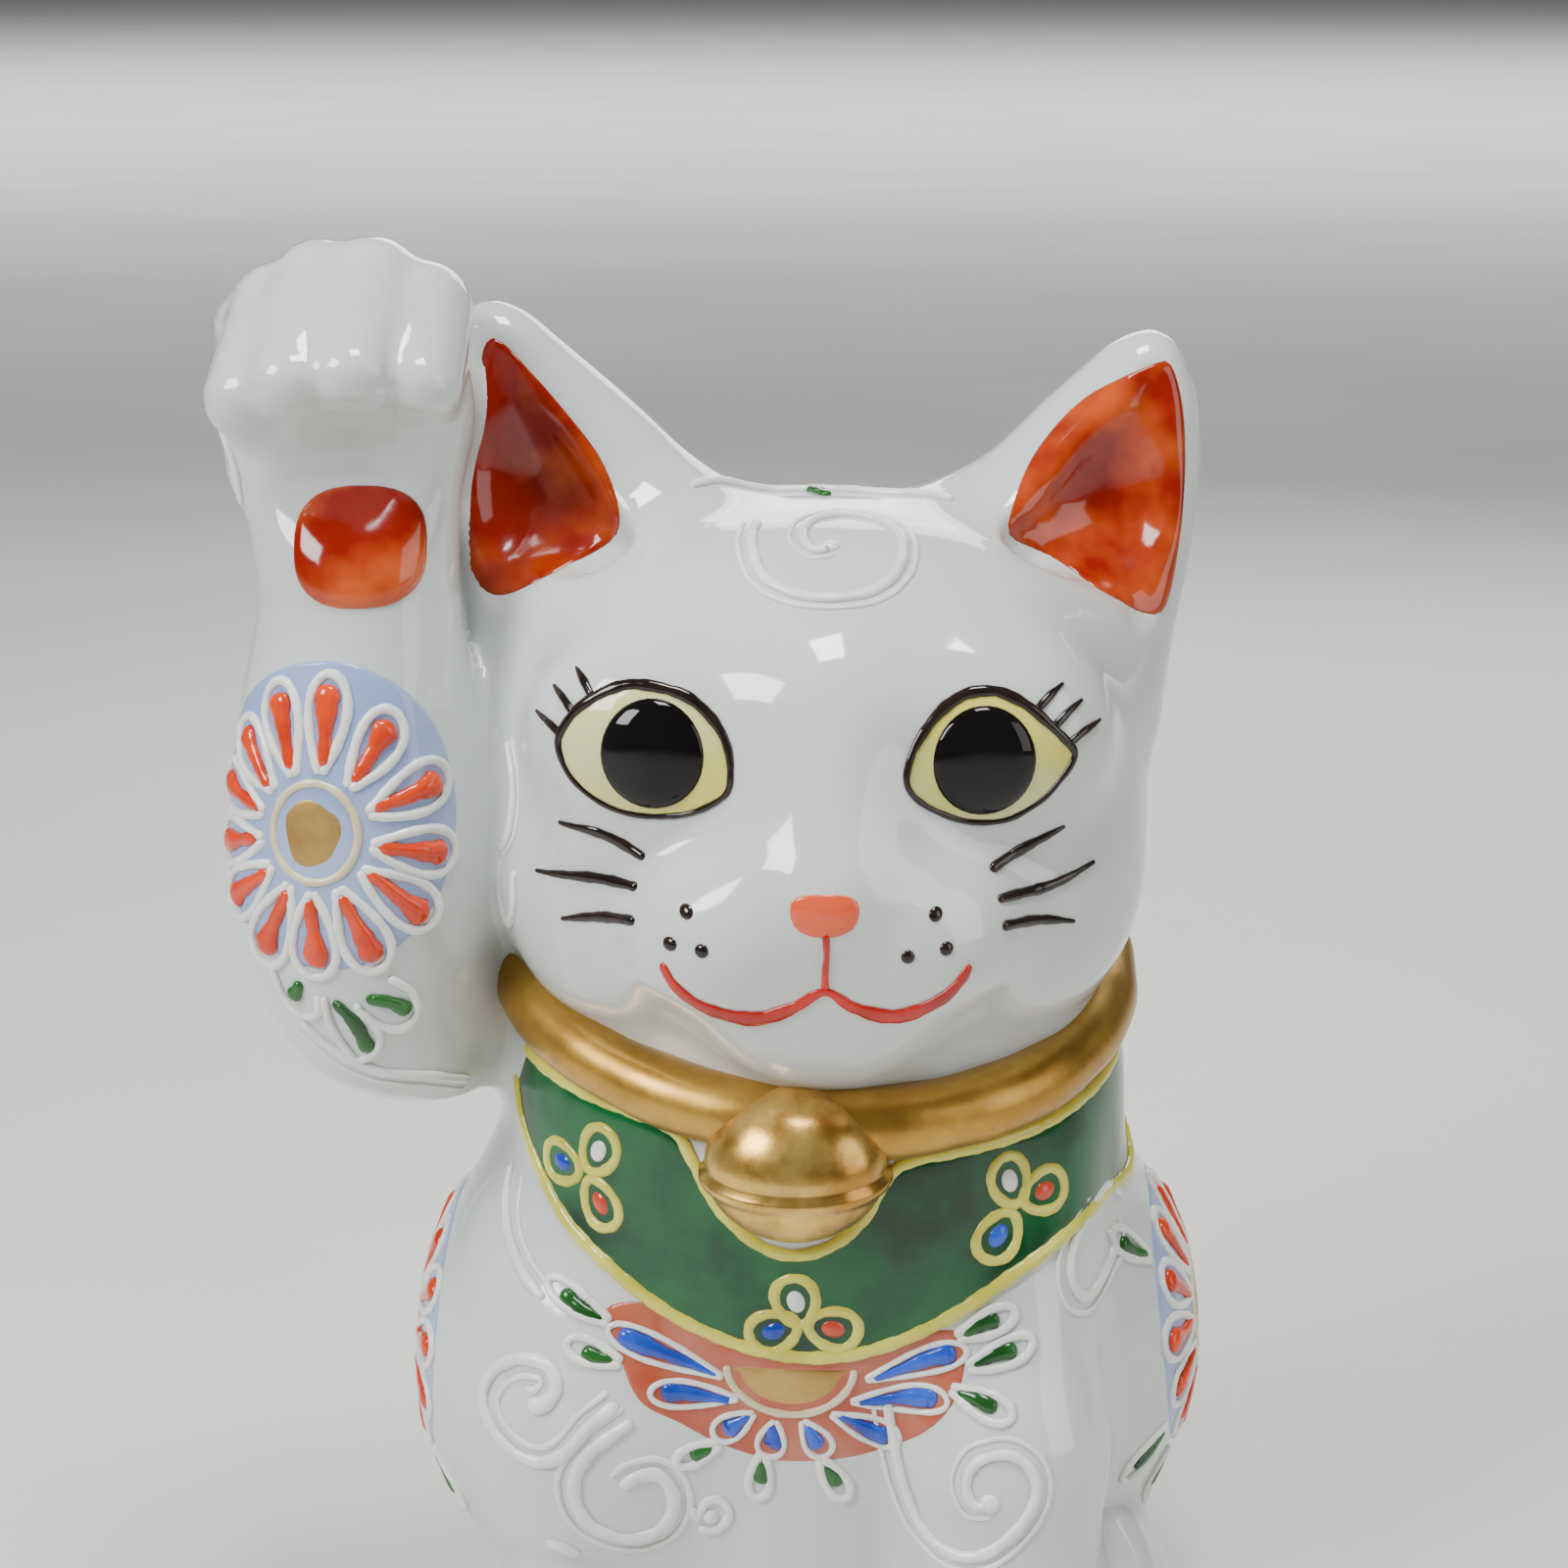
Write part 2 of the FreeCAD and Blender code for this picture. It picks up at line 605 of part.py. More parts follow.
def flower(name, form_layers, hidden=None, *clear_of):
    """One chrysanthemum with its leaves: ground, petals, heart, and the white lines of its area."""
    stem = f"{name}_flower"
    ground, heart, petals = (size(f"{stem}_{word}") for word in FLOWER_WORDS[4:])
    leaves, start, step = (size(f"{stem}_{word}") for word in LEAF_WORDS)
    spot = tuple(size(f"{stem}_{word}") for word in FLOWER_WORDS[:4])
    trail, gap = size("trail"), size("petal_gap")
    spread = math.tan(math.radians(180 / petals))
    near, far = heart + trail, (ground - gap) / (1 + spread)
    fill = 0.3  # half width at which a petal's opening begins
    open_near = (fill + trail + gap / 2) / spread
    loops, strokes, leaf_loops, leaf_strokes = [loop(heart, heart * 0.99)], [], [], []
    for number in range(int(petals)):
        angle = 360 * (number + 0.5) / petals
        outer = petal(near, near * spread - gap / 2, far, far * spread - gap / 2, angle)
        hole = petal(open_near, fill, far, far * spread - gap / 2 - trail, angle)
        loops.append(face(outer, hole))
        inset = far * spread - gap - trail
        strokes.append(face(petal(open_near + gap, fill, far - gap / 2, inset, angle)))
    half, wide = size("leaf_half"), size("leaf_half_width")
    for number in range(int(leaves)):
        angle = start + step * number
        at = polar(ground + half + gap, angle)
        leaf_loops.append(loop(half, wide, at.x, at.y, angle))
        leaf_strokes.append(face(oval(half - trail - gap, wide - trail - gap / 3, at.x, at.y, angle)))
    core = heart - trail - gap
    drawings = {
        "ground": (face(oval(ground, ground * 0.99)), "film"),
        "petal_trails": (Part.Compound(loops), "over"),
        "petal_strokes": (Part.Compound(strokes), "over"),
        "heart": (face(oval(core, core * 0.99)), "over"),
    }
    for word, (drawing, layer) in drawings.items():
        kept = drawing.cut(hidden) if hidden else drawing
        deposit(f"{stem}_{word}", [(kept, spot)], form_layers[layer], *clear_of)
    deposit(f"{name}_leaf_strokes", [(Part.Compound(leaf_strokes), spot)], form_layers["bead"], *clear_of)
    lines = [(Part.Compound(leaf_loops), spot)] + scroll_spots(name)
    deposit(f"{name}_white_trails", lines, form_layers["bead"], *clear_of)


def scroll_spots(name):
    """The scrolls of one area, each with the spot that it runs out from."""
    spots = []
    for number in range(len(SCROLLS[name])):
        stem = f"{name}_scroll_{number}_row"
        values = [size(f"{stem}_{word}") for word in SCROLL_WORDS]
        spots.append((volute(*values[4:]), tuple(values[:4])))
    return spots


# ---------------------------------------------------------------- the figurine


def main():
    fill_sheet()
    torso_solid, torso = torso_casting()
    head_solid, head = head_casting()
    raised, raised_void = raised_casting(torso_solid, head_solid)
    roll = collar_roll(torso_solid, head_solid)
    finish(torso, "torso_casting")
    finish(head, "head_casting")
    finish(cut("raised_clay", raised, raised_void, roll), "raised_foreleg_casting")
    finish(tail_casting(torso_solid), "tail_casting")
    finish(roll, "collar_roll")
    jingle = finish(bell(torso_solid, head_solid, roll), "bell")

    head_layers = layers("head", lambda grow: stack_form("head", grow))
    eyes(head_layers)
    whiskers(head_layers)
    deposit("crown_scroll", scroll_spots("crown"), head_layers["bead"])
    deposit("nape_scrolls", scroll_spots("nape"), head_layers["bead"])
    mouth(layers("muzzle", lambda grow: egg("muzzle", grow)))
    ear_reds(head_solid)

    leg_layers = layers("leg", lambda grow: stack_form("raised", grow))
    pad = face(oval(size("palm_pad_wide"), size("palm_pad_tall")))
    deposit("palm_pad", [(pad, front("palm_pad"))], leg_layers["film"])
    flower("raised_foreleg", leg_layers)

    body_layers = layers("body", lambda grow: stack_form("torso", grow))
    outline, spot = bib(body_layers, roll, jingle, egg("upper_foreleg"))
    hidden = outline.copy()
    hidden.translate(Vector(spot[0] - size("chest_flower_across"), spot[2] - size("chest_flower_height"), 0))
    flower("chest", body_layers, hidden, stack_form("foreleg"))
    flower("back", body_layers)
    standing = layers("standing", lambda grow: stack_form("foreleg", grow))
    deposit("standing_foreleg_scroll", scroll_spots("standing"), standing["bead"])
    for side in ("left", "right"):
        haunch_layers = layers(f"{side}_haunch", lambda grow: egg(f"{side}_haunch", grow))
        flower(f"{side}_haunch", haunch_layers)
    doc.recompute()
    write_parts()


def write_parts():
    """Refuses a failed object or a bad shape, then writes each sub-part to parts/NODE.step."""
    for thing in doc.Objects:
        if "Invalid" in thing.State or "Error" in thing.State:
            raise RuntimeError(f"{thing.Label} failed: {thing.State}")
    os.makedirs("parts", exist_ok=True)
    for thing in FINISHED:
        shape = thing.Shape
        if shape.isNull() or not shape.isValid() or not shape.Solids:
            raise RuntimeError(f"{thing.Label} has no valid solid")
        shape.exportStep(f"parts/{thing.Label}.step")
        print(f"{thing.Label}: {len(shape.Solids)} solid(s), {shape.Volume:.0f} mm3")


main()
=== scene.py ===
"""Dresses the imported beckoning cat: glazed porcelain, raised enamels and gold.

Blender units are metres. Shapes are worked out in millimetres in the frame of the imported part
(+Z up, the cat faces -Y) and are scaled when their mesh is made."""

import math

import bpy
import numpy as np
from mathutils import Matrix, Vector


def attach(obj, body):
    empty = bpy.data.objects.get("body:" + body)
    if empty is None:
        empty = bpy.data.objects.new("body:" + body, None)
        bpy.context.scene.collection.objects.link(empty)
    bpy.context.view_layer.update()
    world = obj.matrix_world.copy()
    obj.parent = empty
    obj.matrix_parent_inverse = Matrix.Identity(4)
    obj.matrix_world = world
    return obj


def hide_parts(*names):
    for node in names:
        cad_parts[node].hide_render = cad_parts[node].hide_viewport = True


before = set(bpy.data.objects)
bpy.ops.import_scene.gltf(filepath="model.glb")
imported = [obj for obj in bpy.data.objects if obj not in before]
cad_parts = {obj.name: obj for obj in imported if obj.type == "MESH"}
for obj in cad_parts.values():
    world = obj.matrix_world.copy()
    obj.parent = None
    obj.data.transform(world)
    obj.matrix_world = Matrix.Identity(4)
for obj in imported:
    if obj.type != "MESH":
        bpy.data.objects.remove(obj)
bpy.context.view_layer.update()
MM = 0.001

# ---------------------------------------------------------------- camera, floor and light
# A hand-held camera close in front of the cat, a little above its head and tilted down, on a pale
# table. The cat is lit by a wide window from the upper left and a lamp that draws small highlights.

CAMERA_TILT = math.radians(15)
CAMERA_AIM = Vector((-3.5, -25.0, 101.5)) * MM
CAMERA_AWAY = 290 * MM

camera = bpy.data.objects.new("camera", bpy.data.cameras.new("camera"))
camera.data.sensor_width = 36
camera.data.lens = 72
camera_way = Vector((0, -math.cos(CAMERA_TILT), math.sin(CAMERA_TILT)))
camera.location = CAMERA_AIM + CAMERA_AWAY * camera_way
camera.rotation_euler = (math.pi / 2 - CAMERA_TILT, 0, 0)
camera.data.clip_start = 0.01
bpy.context.collection.objects.link(camera)
bpy.context.scene.camera = camera


def lamp(name, at, aim, watts, width, height, colour=(1, 1, 1)):
    """A flat soft lamp that faces a point; places in millimetres."""
    light = bpy.data.lights.new(name, "AREA")
    light.shape = "RECTANGLE"
    light.size, light.size_y, light.energy, light.color = width * MM, height * MM, watts, colour
    thing = bpy.data.objects.new(name, light)
    thing.location = Vector(at) * MM
    thing.rotation_euler = (Vector(aim) - Vector(at)).to_track_quat("-Z", "Y").to_euler()
    bpy.context.collection.objects.link(thing)


lamp("window", (-420, -330, 480), (0, 0, 80), 4.7, 260, 260, (0.97, 0.98, 1.0))
lamp("ceiling", (40, -120, 700), (0, 0, 80), 3.6, 180, 180)
lamp("fill", (520, -260, 260), (0, 0, 80), 1.0, 300, 420, (1.0, 0.99, 0.97))
lamp("far_floor", (0, 3200, 1900), (0, 4200, 0), 210.0, 7000, 3000)
lamp("back", (120, 560, 380), (0, 0, 80), 1.8, 420, 300)

world = bpy.data.worlds.new("world")
world.use_nodes = True
world.node_tree.nodes["Background"].inputs["Color"].default_value = (0.80, 0.81, 0.82, 1)
world.node_tree.nodes["Background"].inputs["Strength"].default_value = 0.17
bpy.context.scene.world = world


class Socket:
    """A shader value: arithmetic on it adds Math nodes to its tree."""

    def __init__(self, tree, source):
        self.tree, self.source = tree, source

    def math(self, operation, *values):
        return self.tree.node("ShaderNodeMath", {"operation": operation}, [self, *values])

    def __add__(self, other):
        return self.math("ADD", other)

    def __mul__(self, other):
        return self.math("MULTIPLY", other)

    __radd__ = __add__
    __rmul__ = __mul__


class Finish:
    """A material under construction, with its Principled shader and Object coordinates."""

    def __init__(self, name, **fixed):
        self.slot = name
        self.material = bpy.data.materials.new(name)
        self.material.use_nodes = True
        self.nodes = self.material.node_tree.nodes
        self.links = self.material.node_tree.links
        self.shader = self.nodes["Principled BSDF"]
        for socket, value in fixed.items():
            self.shader.inputs[socket.replace("_", " ")].default_value = value
        self.place = self.node("ShaderNodeTexCoord", {}, {}, "Object")

    def node(self, kind, settings, values, output=0):
        """Adds a node: its settings first, then a value or a link for each socket."""
        node = self.nodes.new(kind)
        for name, value in settings.items():
            if name == "stops":
                self.stops(node.color_ramp, value)
            else:
                setattr(node, name, value)
        pairs = values.items() if isinstance(values, dict) else enumerate(values)
        for socket, value in pairs:
            if isinstance(value, Socket):
                self.links.new(value.source, node.inputs[socket])
            else:
                node.inputs[socket].default_value = value
        return Socket(self, node.outputs[output])

    @staticmethod
    def stops(ramp, stops):
        while len(ramp.elements) < len(stops):
            ramp.elements.new(0.5)
        for element, (place, colour) in zip(ramp.elements, stops):
            element.position, element.color = place, colour

    def noise(self, scale, detail=2.0, roughness=0.5, output=0):
        """Noise over the piece, its scale in patches per metre."""
        values = {"Vector": self.place, "Scale": scale, "Detail": detail, "Roughness": roughness}
        return self.node("ShaderNodeTexNoise", {}, values, output)

    def ramp(self, factor, *stops):
        return self.node("ShaderNodeValToRGB", {"stops": stops}, [factor])

    def set(self, **links):
        for socket, value in links.items():
            self.links.new(value.source, self.shader.inputs[socket.replace("_", " ")])
        return self

    def bump(self, height, strength, distance):
        """Small relief, its distance in millimetres."""
        values = {"Strength": strength, "Distance": distance * MM, "Height": height}
        return self.set(Normal=self.node("ShaderNodeBump", {}, values))


def mesh_object(name, points, faces, material, smooth=True):
    """A piece from points in millimetres and faces given as rows of point numbers."""
    mesh = bpy.data.meshes.new(name)
    points = np.asarray(points, dtype=np.float64).reshape(-1, 3) * MM
    faces = np.asarray(faces, dtype=np.int32)
    mesh.vertices.add(len(points))
    mesh.vertices.foreach_set("co", points.ravel())
    mesh.loops.add(faces.size)
    mesh.loops.foreach_set("vertex_index", faces.ravel())
    mesh.polygons.add(len(faces))
    mesh.polygons.foreach_set("loop_start", np.arange(len(faces), dtype=np.int32) * faces.shape[1])
    mesh.polygons.foreach_set("use_smooth", np.full(len(faces), smooth))
    mesh.update(calc_edges=True)
    mesh.validate()
    thing = bpy.data.objects.new(name, mesh)
    bpy.context.collection.objects.link(thing)
    thing.data.materials.append(material)
    return thing


def lay(thing, slot, *nodes):
    """Attaches a finished piece to the root, and hides the plain nodes it stands for, where it has any.
    """
    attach(thing, "root")
    if nodes:
        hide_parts(*nodes)


def circle(count):
    """Even turns round a circle, in radians."""
    return np.linspace(0, 2 * np.pi, count + 1)[:-1]


def oval(turn, u, v, wide, high):
    """Rows u, v on an oval round a middle, at the given turns."""
    return np.stack([u + wide * np.cos(turn), v + high * np.sin(turn)], -1)


def even(path, width):
    """Rows u, v, width of a line that is as wide all along."""
    return np.column_stack([path, np.full(len(path), width)])


table_top = Finish("pale_table", Roughness=0.6)
table_top.set(Base_Color=table_top.ramp(table_top.noise(6.0, 4.0), (0.35, (0.74, 0.73, 0.70, 1)),
    (0.7, (0.80, 0.79, 0.76, 1))))
FLOOR_HALF = 20000.0
floor = mesh_object("floor", FLOOR_HALF * np.array([(-1, -1, 0), (1, -1, 0), (1, 1, 0), (-1, 1, 0)]),
    [(0, 1, 2, 3)], table_top.material, False)

# ---------------------------------------------------------------- glazed porcelain skin
# Slip-cast head, torso, raised foreleg and tail, luted with slip and sponged smooth, under one coat
# of clear glaze that rounds every join. The real surface is one skin, so it is one piece here.


def through(z, knots, values):
    """A smooth curve through knots: cubic in between, with its neighbours' mean slope at each."""
    knots, values = np.asarray(knots, np.float64), np.asarray(values, np.float64)
    slopes = np.gradient(values, knots)
    z = np.clip(z, knots[0], knots[-1])
    cell = np.clip(np.searchsorted(knots, z, "right") - 1, 0, len(knots) - 2)
    width = knots[cell + 1] - knots[cell]
    t = (z - knots[cell]) / width
    start = (1 + 2 * t) * (1 - t) ** 2 * values[cell] + t * (1 - t) ** 2 * width * slopes[cell]
    return start + t * t * (3 - 2 * t) * values[cell + 1] - t * t * (1 - t) * width * slopes[cell + 1]


def ball(points, middle, halves):
    """Distance to an ellipsoid, about true near its surface: k (k - 1) / |gradient of k|."""
    local = points - np.asarray(middle, np.float32)
    halves = np.asarray(halves, np.float32)
    k = np.sqrt(((local / halves) ** 2).sum(-1))
    slope = np.sqrt(((local / halves**2) ** 2).sum(-1)) + 1e-9
    return k * (k - 1) / slope


def limb(points, start, end, start_radius, end_radius):
    """Distance to a tapered round limb: to its middle line, less a radius that changes along it."""
    start, end = np.asarray(start, np.float32), np.asarray(end, np.float32)
    along = end - start
    t = np.clip((points - start) @ along / (along @ along), 0, 1)
    gap = points - start - t[..., None] * along
    return np.sqrt((gap**2).sum(-1)) - (start_radius + (end_radius - start_radius) * t)


def stack(points, sections, round_end=2.0):
    """Distance to a form of oval sections: rows of height, half width, half depth, x and y."""
    heights, wide, deep, across, along = np.asarray(sections, np.float64).T
    z = points[..., 2]
    a, b = through(z, heights, wide), through(z, heights, deep)
    x, y = points[..., 0] - through(z, heights, across), points[..., 1] - through(z, heights, along)
    k = np.sqrt((x / a) ** 2 + (y / b) ** 2)
    slope = np.sqrt((x / a**2) ** 2 + (y / b**2) ** 2) + 1e-9
    flat = k * (k - 1) / slope
    ends = np.abs(z - (heights[0] + heights[-1]) / 2) - (heights[-1] - heights[0]) / 2
    return -join(-flat, -ends, round_end)


def join(first, second, blend):
    """A union with its crease filled: the smaller distance, less a bulge where both are near."""
    near = np.maximum(blend - np.abs(first - second), 0) / blend
    return np.minimum(first, second) - near**2 * blend / 4


def carve(base, tool, blend):
    """Takes a tool out of a base, with its edge rounded."""
    return -join(-base, tool, blend)


def head_field(p):
    """Head: a rounded block with full cheeks, a muzzle of two pads, nose, chin and eye hollows."""
    x, y, z = p[..., 0], p[..., 1] + 3.5, p[..., 2] - 97.3
    plan = (np.abs(x / 32.4) ** 2.2 + np.abs(y / 28.3) ** 2.2) ** (1 / 2.2)
    field = ((plan**2.6 + np.abs(z / 27.3) ** 2.6) ** (1 / 2.6) - 1) * 27.5
    for hand in (-1, 1):
        field = join(field, ball(p, (15.6 * hand, -14, 87.5), (12.4, 12.6, 11.8)), 8)
        field = carve(field, ball(p, (16.5 * hand, -40.2, 104.5), (12.5, 8.2, 10)), 9)
        field = join(field, ball(p, (15.6 * hand, -22.9, 106), (10.4, 7.4, 8.4)), 6)
        field = join(field, ball(p, (7.6 * hand, -29.2, 88.4), (9.6, 8.4, 8.0)), 6)
    field = join(field, limb(p, (0, -26.5, 108), (0, -32.2, 95.5), 5.4, 5.4), 9)
    field = join(field, ball(p, (0, -33.2, 93.0), (4.4, 4.8, 3.8)), 4)
    return join(field, ball(p, (0, -27.0, 79.8), (9, 7, 7)), 7)


LEFT_EAR = [(104, 12.5, 8.5, 20, -1), (117, 14.2, 8.2, 22.2, 0), (124.5, 12.6, 7.2, 24.8, 0.5),
    (129, 9.9, 6.0, 27.5, 1), (134, 7.0, 4.8, 29.8, 1.5), (138, 4.0, 3.4, 31.4, 2),
    (140.2, 2.2, 2.0, 32.2, 2)]
RIGHT_EAR = [(104, 12.5, 8.5, -20, -1), (117, 14.6, 8.2, -22, 0), (125.5, 13.4, 7.2, -24, 0.5),
    (131, 10.8, 6.0, -26.6, 1), (136.5, 7.4, 4.8, -29.4, 1.5), (140.5, 4.4, 3.4, -31.2, 2),
    (143, 2.4, 2.0, -32, 2)]
# Each ear's cup runs from its middle to three corners: the tip, the foot and the inner corner.
LEFT_CUP = [(28.8, -9.0, 124.8, 5.6), (33.0, -4.4, 135.6, 2.5), (32.4, -9.2, 115.8, 2.9),
            (20.6, -9.6, 121.6, 3.0)]
RIGHT_CUP = [(-28.6, -9.0, 126.0, 5.8), (-31.6, -4.4, 138.0, 2.5), (-32.4, -9.4, 118.0, 3.0),
             (-21.4, -9.8, 121.6, 3.1)]


def ears_field(p, field):
    """Both ears, pulled up out of the head, each with a thumbed cup in its front."""
    for sections, corners in ((LEFT_EAR, LEFT_CUP), (RIGHT_EAR, RIGHT_CUP)):
        field = join(field, stack(p, sections, 2.5), 7)
        middle = corners[0]
        cup = limb(p, middle[:3], corners[1][:3], middle[3], corners[1][3])
        for corner in corners[2:]:
            cup = join(cup, limb(p, middle[:3], corner[:3], middle[3], corner[3]), 5)
        field = carve(field, cup, 1.6)
    return field


TORSO = [(-6, 33, 29, 0, 2), (4, 34, 30, 0, 2), (24, 33.5, 29.8, 0, 1), (46, 32, 30, 0, 0),
    (60, 31.8, 29.8, -0.5, -1), (70, 31, 28, -0.5, -2), (79.5, 27.5, 24.8, 0, -3),
    (88, 24, 22, 0, -3)]


def torso_field(p):
    """Torso with both haunches, both hind feet and the standing foreleg, before the foot is cut."""
    field = stack(p, TORSO)
    field = join(field, ball(p, (-20.6, -3, 35.5), (20.8, 27, 26.5)), 5)
    field = join(field, ball(p, (20, 4, 35), (20.3, 26, 24)), 5)
    foreleg = limb(p, (17.3, -14.5, 60), (17.8, -23.5, 34), 8.2, 10.2)
    foreleg = join(foreleg, limb(p, (17.8, -23.5, 34), (17.5, -27.2, 4), 10.2, 10), 3)
    foreleg = join(foreleg, ball(p, (17.5, -29.5, 6), (10.4, 9.9, 8.6)), 4)
    field = join(field, foreleg, 4)
    field = join(field, ball(p, (-23.5, -17, 8), (9.7, 19, 13)), 3)
    return join(field, ball(p, (27.8, -15, 9), (9.4, 19, 14)), 2.5)


RAISED = [(66, 5, 5, -38.8, -11), (70, 8.4, 8, -41.6, -12), (75, 10.2, 9.8, -43.4, -12.4),
    (82, 12, 11.2, -44.6, -12.8), (94, 12.3, 11.6, -44.7, -13), (107, 11, 10.4, -44.4, -12.5),
    (117, 9.6, 9.2, -44, -11.5), (126, 10.2, 9.4, -44.4, -10.5), (134, 10.5, 9, -44.6, -9.5)]
# Each toe runs from its knuckle over the top to its end in front: two places, then two radii.
TOES = [((-51.2, -7, 143.0), (-53.0, -16.0, 136.0), 4.6, 4.1), ((-47.0, -8, 145.1),
    (-48.6, -18.0, 137.4), 4.8, 4.3), ((-42.2, -8, 145.3), (-43.0, -18.4, 138.0), 4.8, 4.3),
    ((-37.4, -8, 143.2), (-37.2, -16.6, 137.0), 4.6, 4.1), ((-54.2, -6, 141.4), (-53.2, -9.0, 129.0),
    3.4, 3.0)]


def raised_field(p):
    """The raised foreleg and its paw, curled forward over a hollow palm."""
    field = stack(p, RAISED, 4)
    field = join(field, limb(p, (-43, -8, 75), (-27, -2, 73), 8.2, 7.4), 5)
    paw = ball(p, (-44.8, -9.3, 135.8), (11.8, 10.9, 11.6))
    for knuckle, end, knuckle_radius, end_radius in TOES:
        paw = join(paw, limb(p, knuckle, end, knuckle_radius, end_radius), 1.3)
    field = join(field, paw, 4)
    return carve(field, ball(p, (-43.2, -23.6, 129.2), (10.4, 8.8, 5.6)), 6)


TAIL = [(5.0, 30, 6), (4.5, 32.3, 14), (1.5, 32.5, 23), (-4.0, 31.0, 31)]


def body_field(p):
    """The whole skin: negative inside, zero on the glaze."""
    field = join(torso_field(p), ears_field(p, head_field(p)), 2.5)
    for start, end in zip(TAIL, TAIL[1:]):
        field = join(field, limb(p, start, end, 5.6, 5.4), 2.5)
    field = join(field, raised_field(p), 4)
    return -join(-field, p[..., 2], 1.2)


def surface_net(field, low, high, step):
    """The skin where a field is zero: one point in each grid cell that it crosses, joined in quads,
    then moved onto the skin along the field's slope."""
    low, high = np.asarray(low, np.float64), np.asarray(high, np.float64)
    counts = np.ceil((high - low) / step).astype(int) + 1
    axes = [low[i] + step * np.arange(counts[i]) for i in range(3)]
    grid = np.stack(np.meshgrid(*axes, indexing="ij"), -1).astype(np.float32)
    value = np.concatenate([field(slab) for slab in np.array_split(grid, 16)])
    inside = value < 0
    total, hits = np.zeros(tuple(counts - 1) + (3,)), np.zeros(tuple(counts - 1))
    for axis in range(3):
        others = [i for i in range(3) if i != axis]
        ahead = [slice(None)] * 3
        behind = [slice(None)] * 3
        ahead[axis], behind[axis] = slice(1, None), slice(None, -1)
        first, second = value[tuple(behind)], value[tuple(ahead)]
        crossed = inside[tuple(behind)] != inside[tuple(ahead)]
        where = np.where(crossed, first / np.where(crossed, first - second, 1), 0)
        for shift_a in (0, 1):
            for shift_b in (0, 1):
                pick = [slice(None)] * 3
                shift = np.zeros(3)
                for other, amount in zip(others, (shift_a, shift_b)):
                    pick[other] = slice(amount, counts[other] - 1 + amount)
                    shift[other] = amount
                mask = crossed[tuple(pick)]
                hits += mask
                offset = np.zeros(mask.shape + (3,))
                offset[...] = shift
                offset[..., axis] = where[tuple(pick)]
                total += offset * mask[..., None]
    used = hits > 0
    number = np.full(used.shape, -1)
    number[used] = np.arange(used.sum())
    cells = np.argwhere(used)
    points = low + step * (cells + total[used] / hits[used][:, None])
    quads = []
    for axis in range(3):
        a, b = [i for i in range(3) if i != axis]
        ahead, behind = [slice(1, -1)] * 3, [slice(1, -1)] * 3
        behind[axis], ahead[axis] = slice(None, -1), slice(1, None)
        first, second = inside[tuple(behind)], inside[tuple(ahead)]
        crossing = np.argwhere(first != second)
        corner = crossing + 1
        corner[:, axis] -= 1
        ring = []
        for shift_a, shift_b in ((0, 0), (1, 0), (1, 1), (0, 1)):
            cell = corner.copy()
            cell[:, a] -= shift_a
            cell[:, b] -= shift_b
            ring.append(number[tuple(cell.T)])
        ring = np.stack(ring, 1)
        outward = first[tuple(crossing.T)] ^ (axis == 1)
        ring[~outward] = ring[~outward][:, ::-1]
        quads.append(ring)
    for _ in range(4):
        points -= slope_of(field, points, True)
    return points, np.concatenate(quads)


def slope_of(field, points, step_to_skin=False):
    """The outward direction of a field at points, or the step that takes them onto its skin."""
    reach = 0.05
    points = points.astype(np.float64)
    parts = []
    for axis in range(3):
        nudge = np.zeros(3)
        nudge[axis] = reach
        parts.append((field(points + nudge) - field(points - nudge)) / (2 * reach))
    slope = np.stack(parts, -1)
    if step_to_skin:
        return slope * np.clip(field(points) / (slope**2).sum(-1), -0.5, 0.5)[:, None]
    return slope / (np.sqrt((slope**2).sum(-1)) + 1e-9)[:, None]


porcelain = Finish("glazed_porcelain", Roughness=0.09, IOR=1.5, Coat_Weight=0.35, Coat_Roughness=0.02,
                   Subsurface_Weight=0.06, Subsurface_Scale=0.003)
porcelain.set(Base_Color=porcelain.ramp(porcelain.noise(24.0, 4.0), (0.35, (0.66, 0.69, 0.672, 1)),
    (0.68, (0.585, 0.625, 0.605, 1))))
porcelain.bump(porcelain.noise(85.0, 2.0), 0.25, 0.16)
SKIN_LOW, SKIN_HIGH, SKIN_STEP = (-62, -48, -3), (44, 42, 154), 0.9
skin_points, skin_faces = surface_net(body_field, SKIN_LOW, SKIN_HIGH, SKIN_STEP)
skin = mesh_object("glazed_skin", skin_points, skin_faces, porcelain.material)
skin.data.normals_split_custom_set_from_vertices(slope_of(body_field, skin_points))
lay(skin, "glazed_porcelain",
    "head_casting", "torso_casting", "raised_foreleg_casting", "tail_casting")

# ---------------------------------------------------------------- gilded collar
# A roll of clay laid over the neck joint and pressed down by hand, gilded after the glaze firing with
# a thin matt gold that has worn a little on the high side.


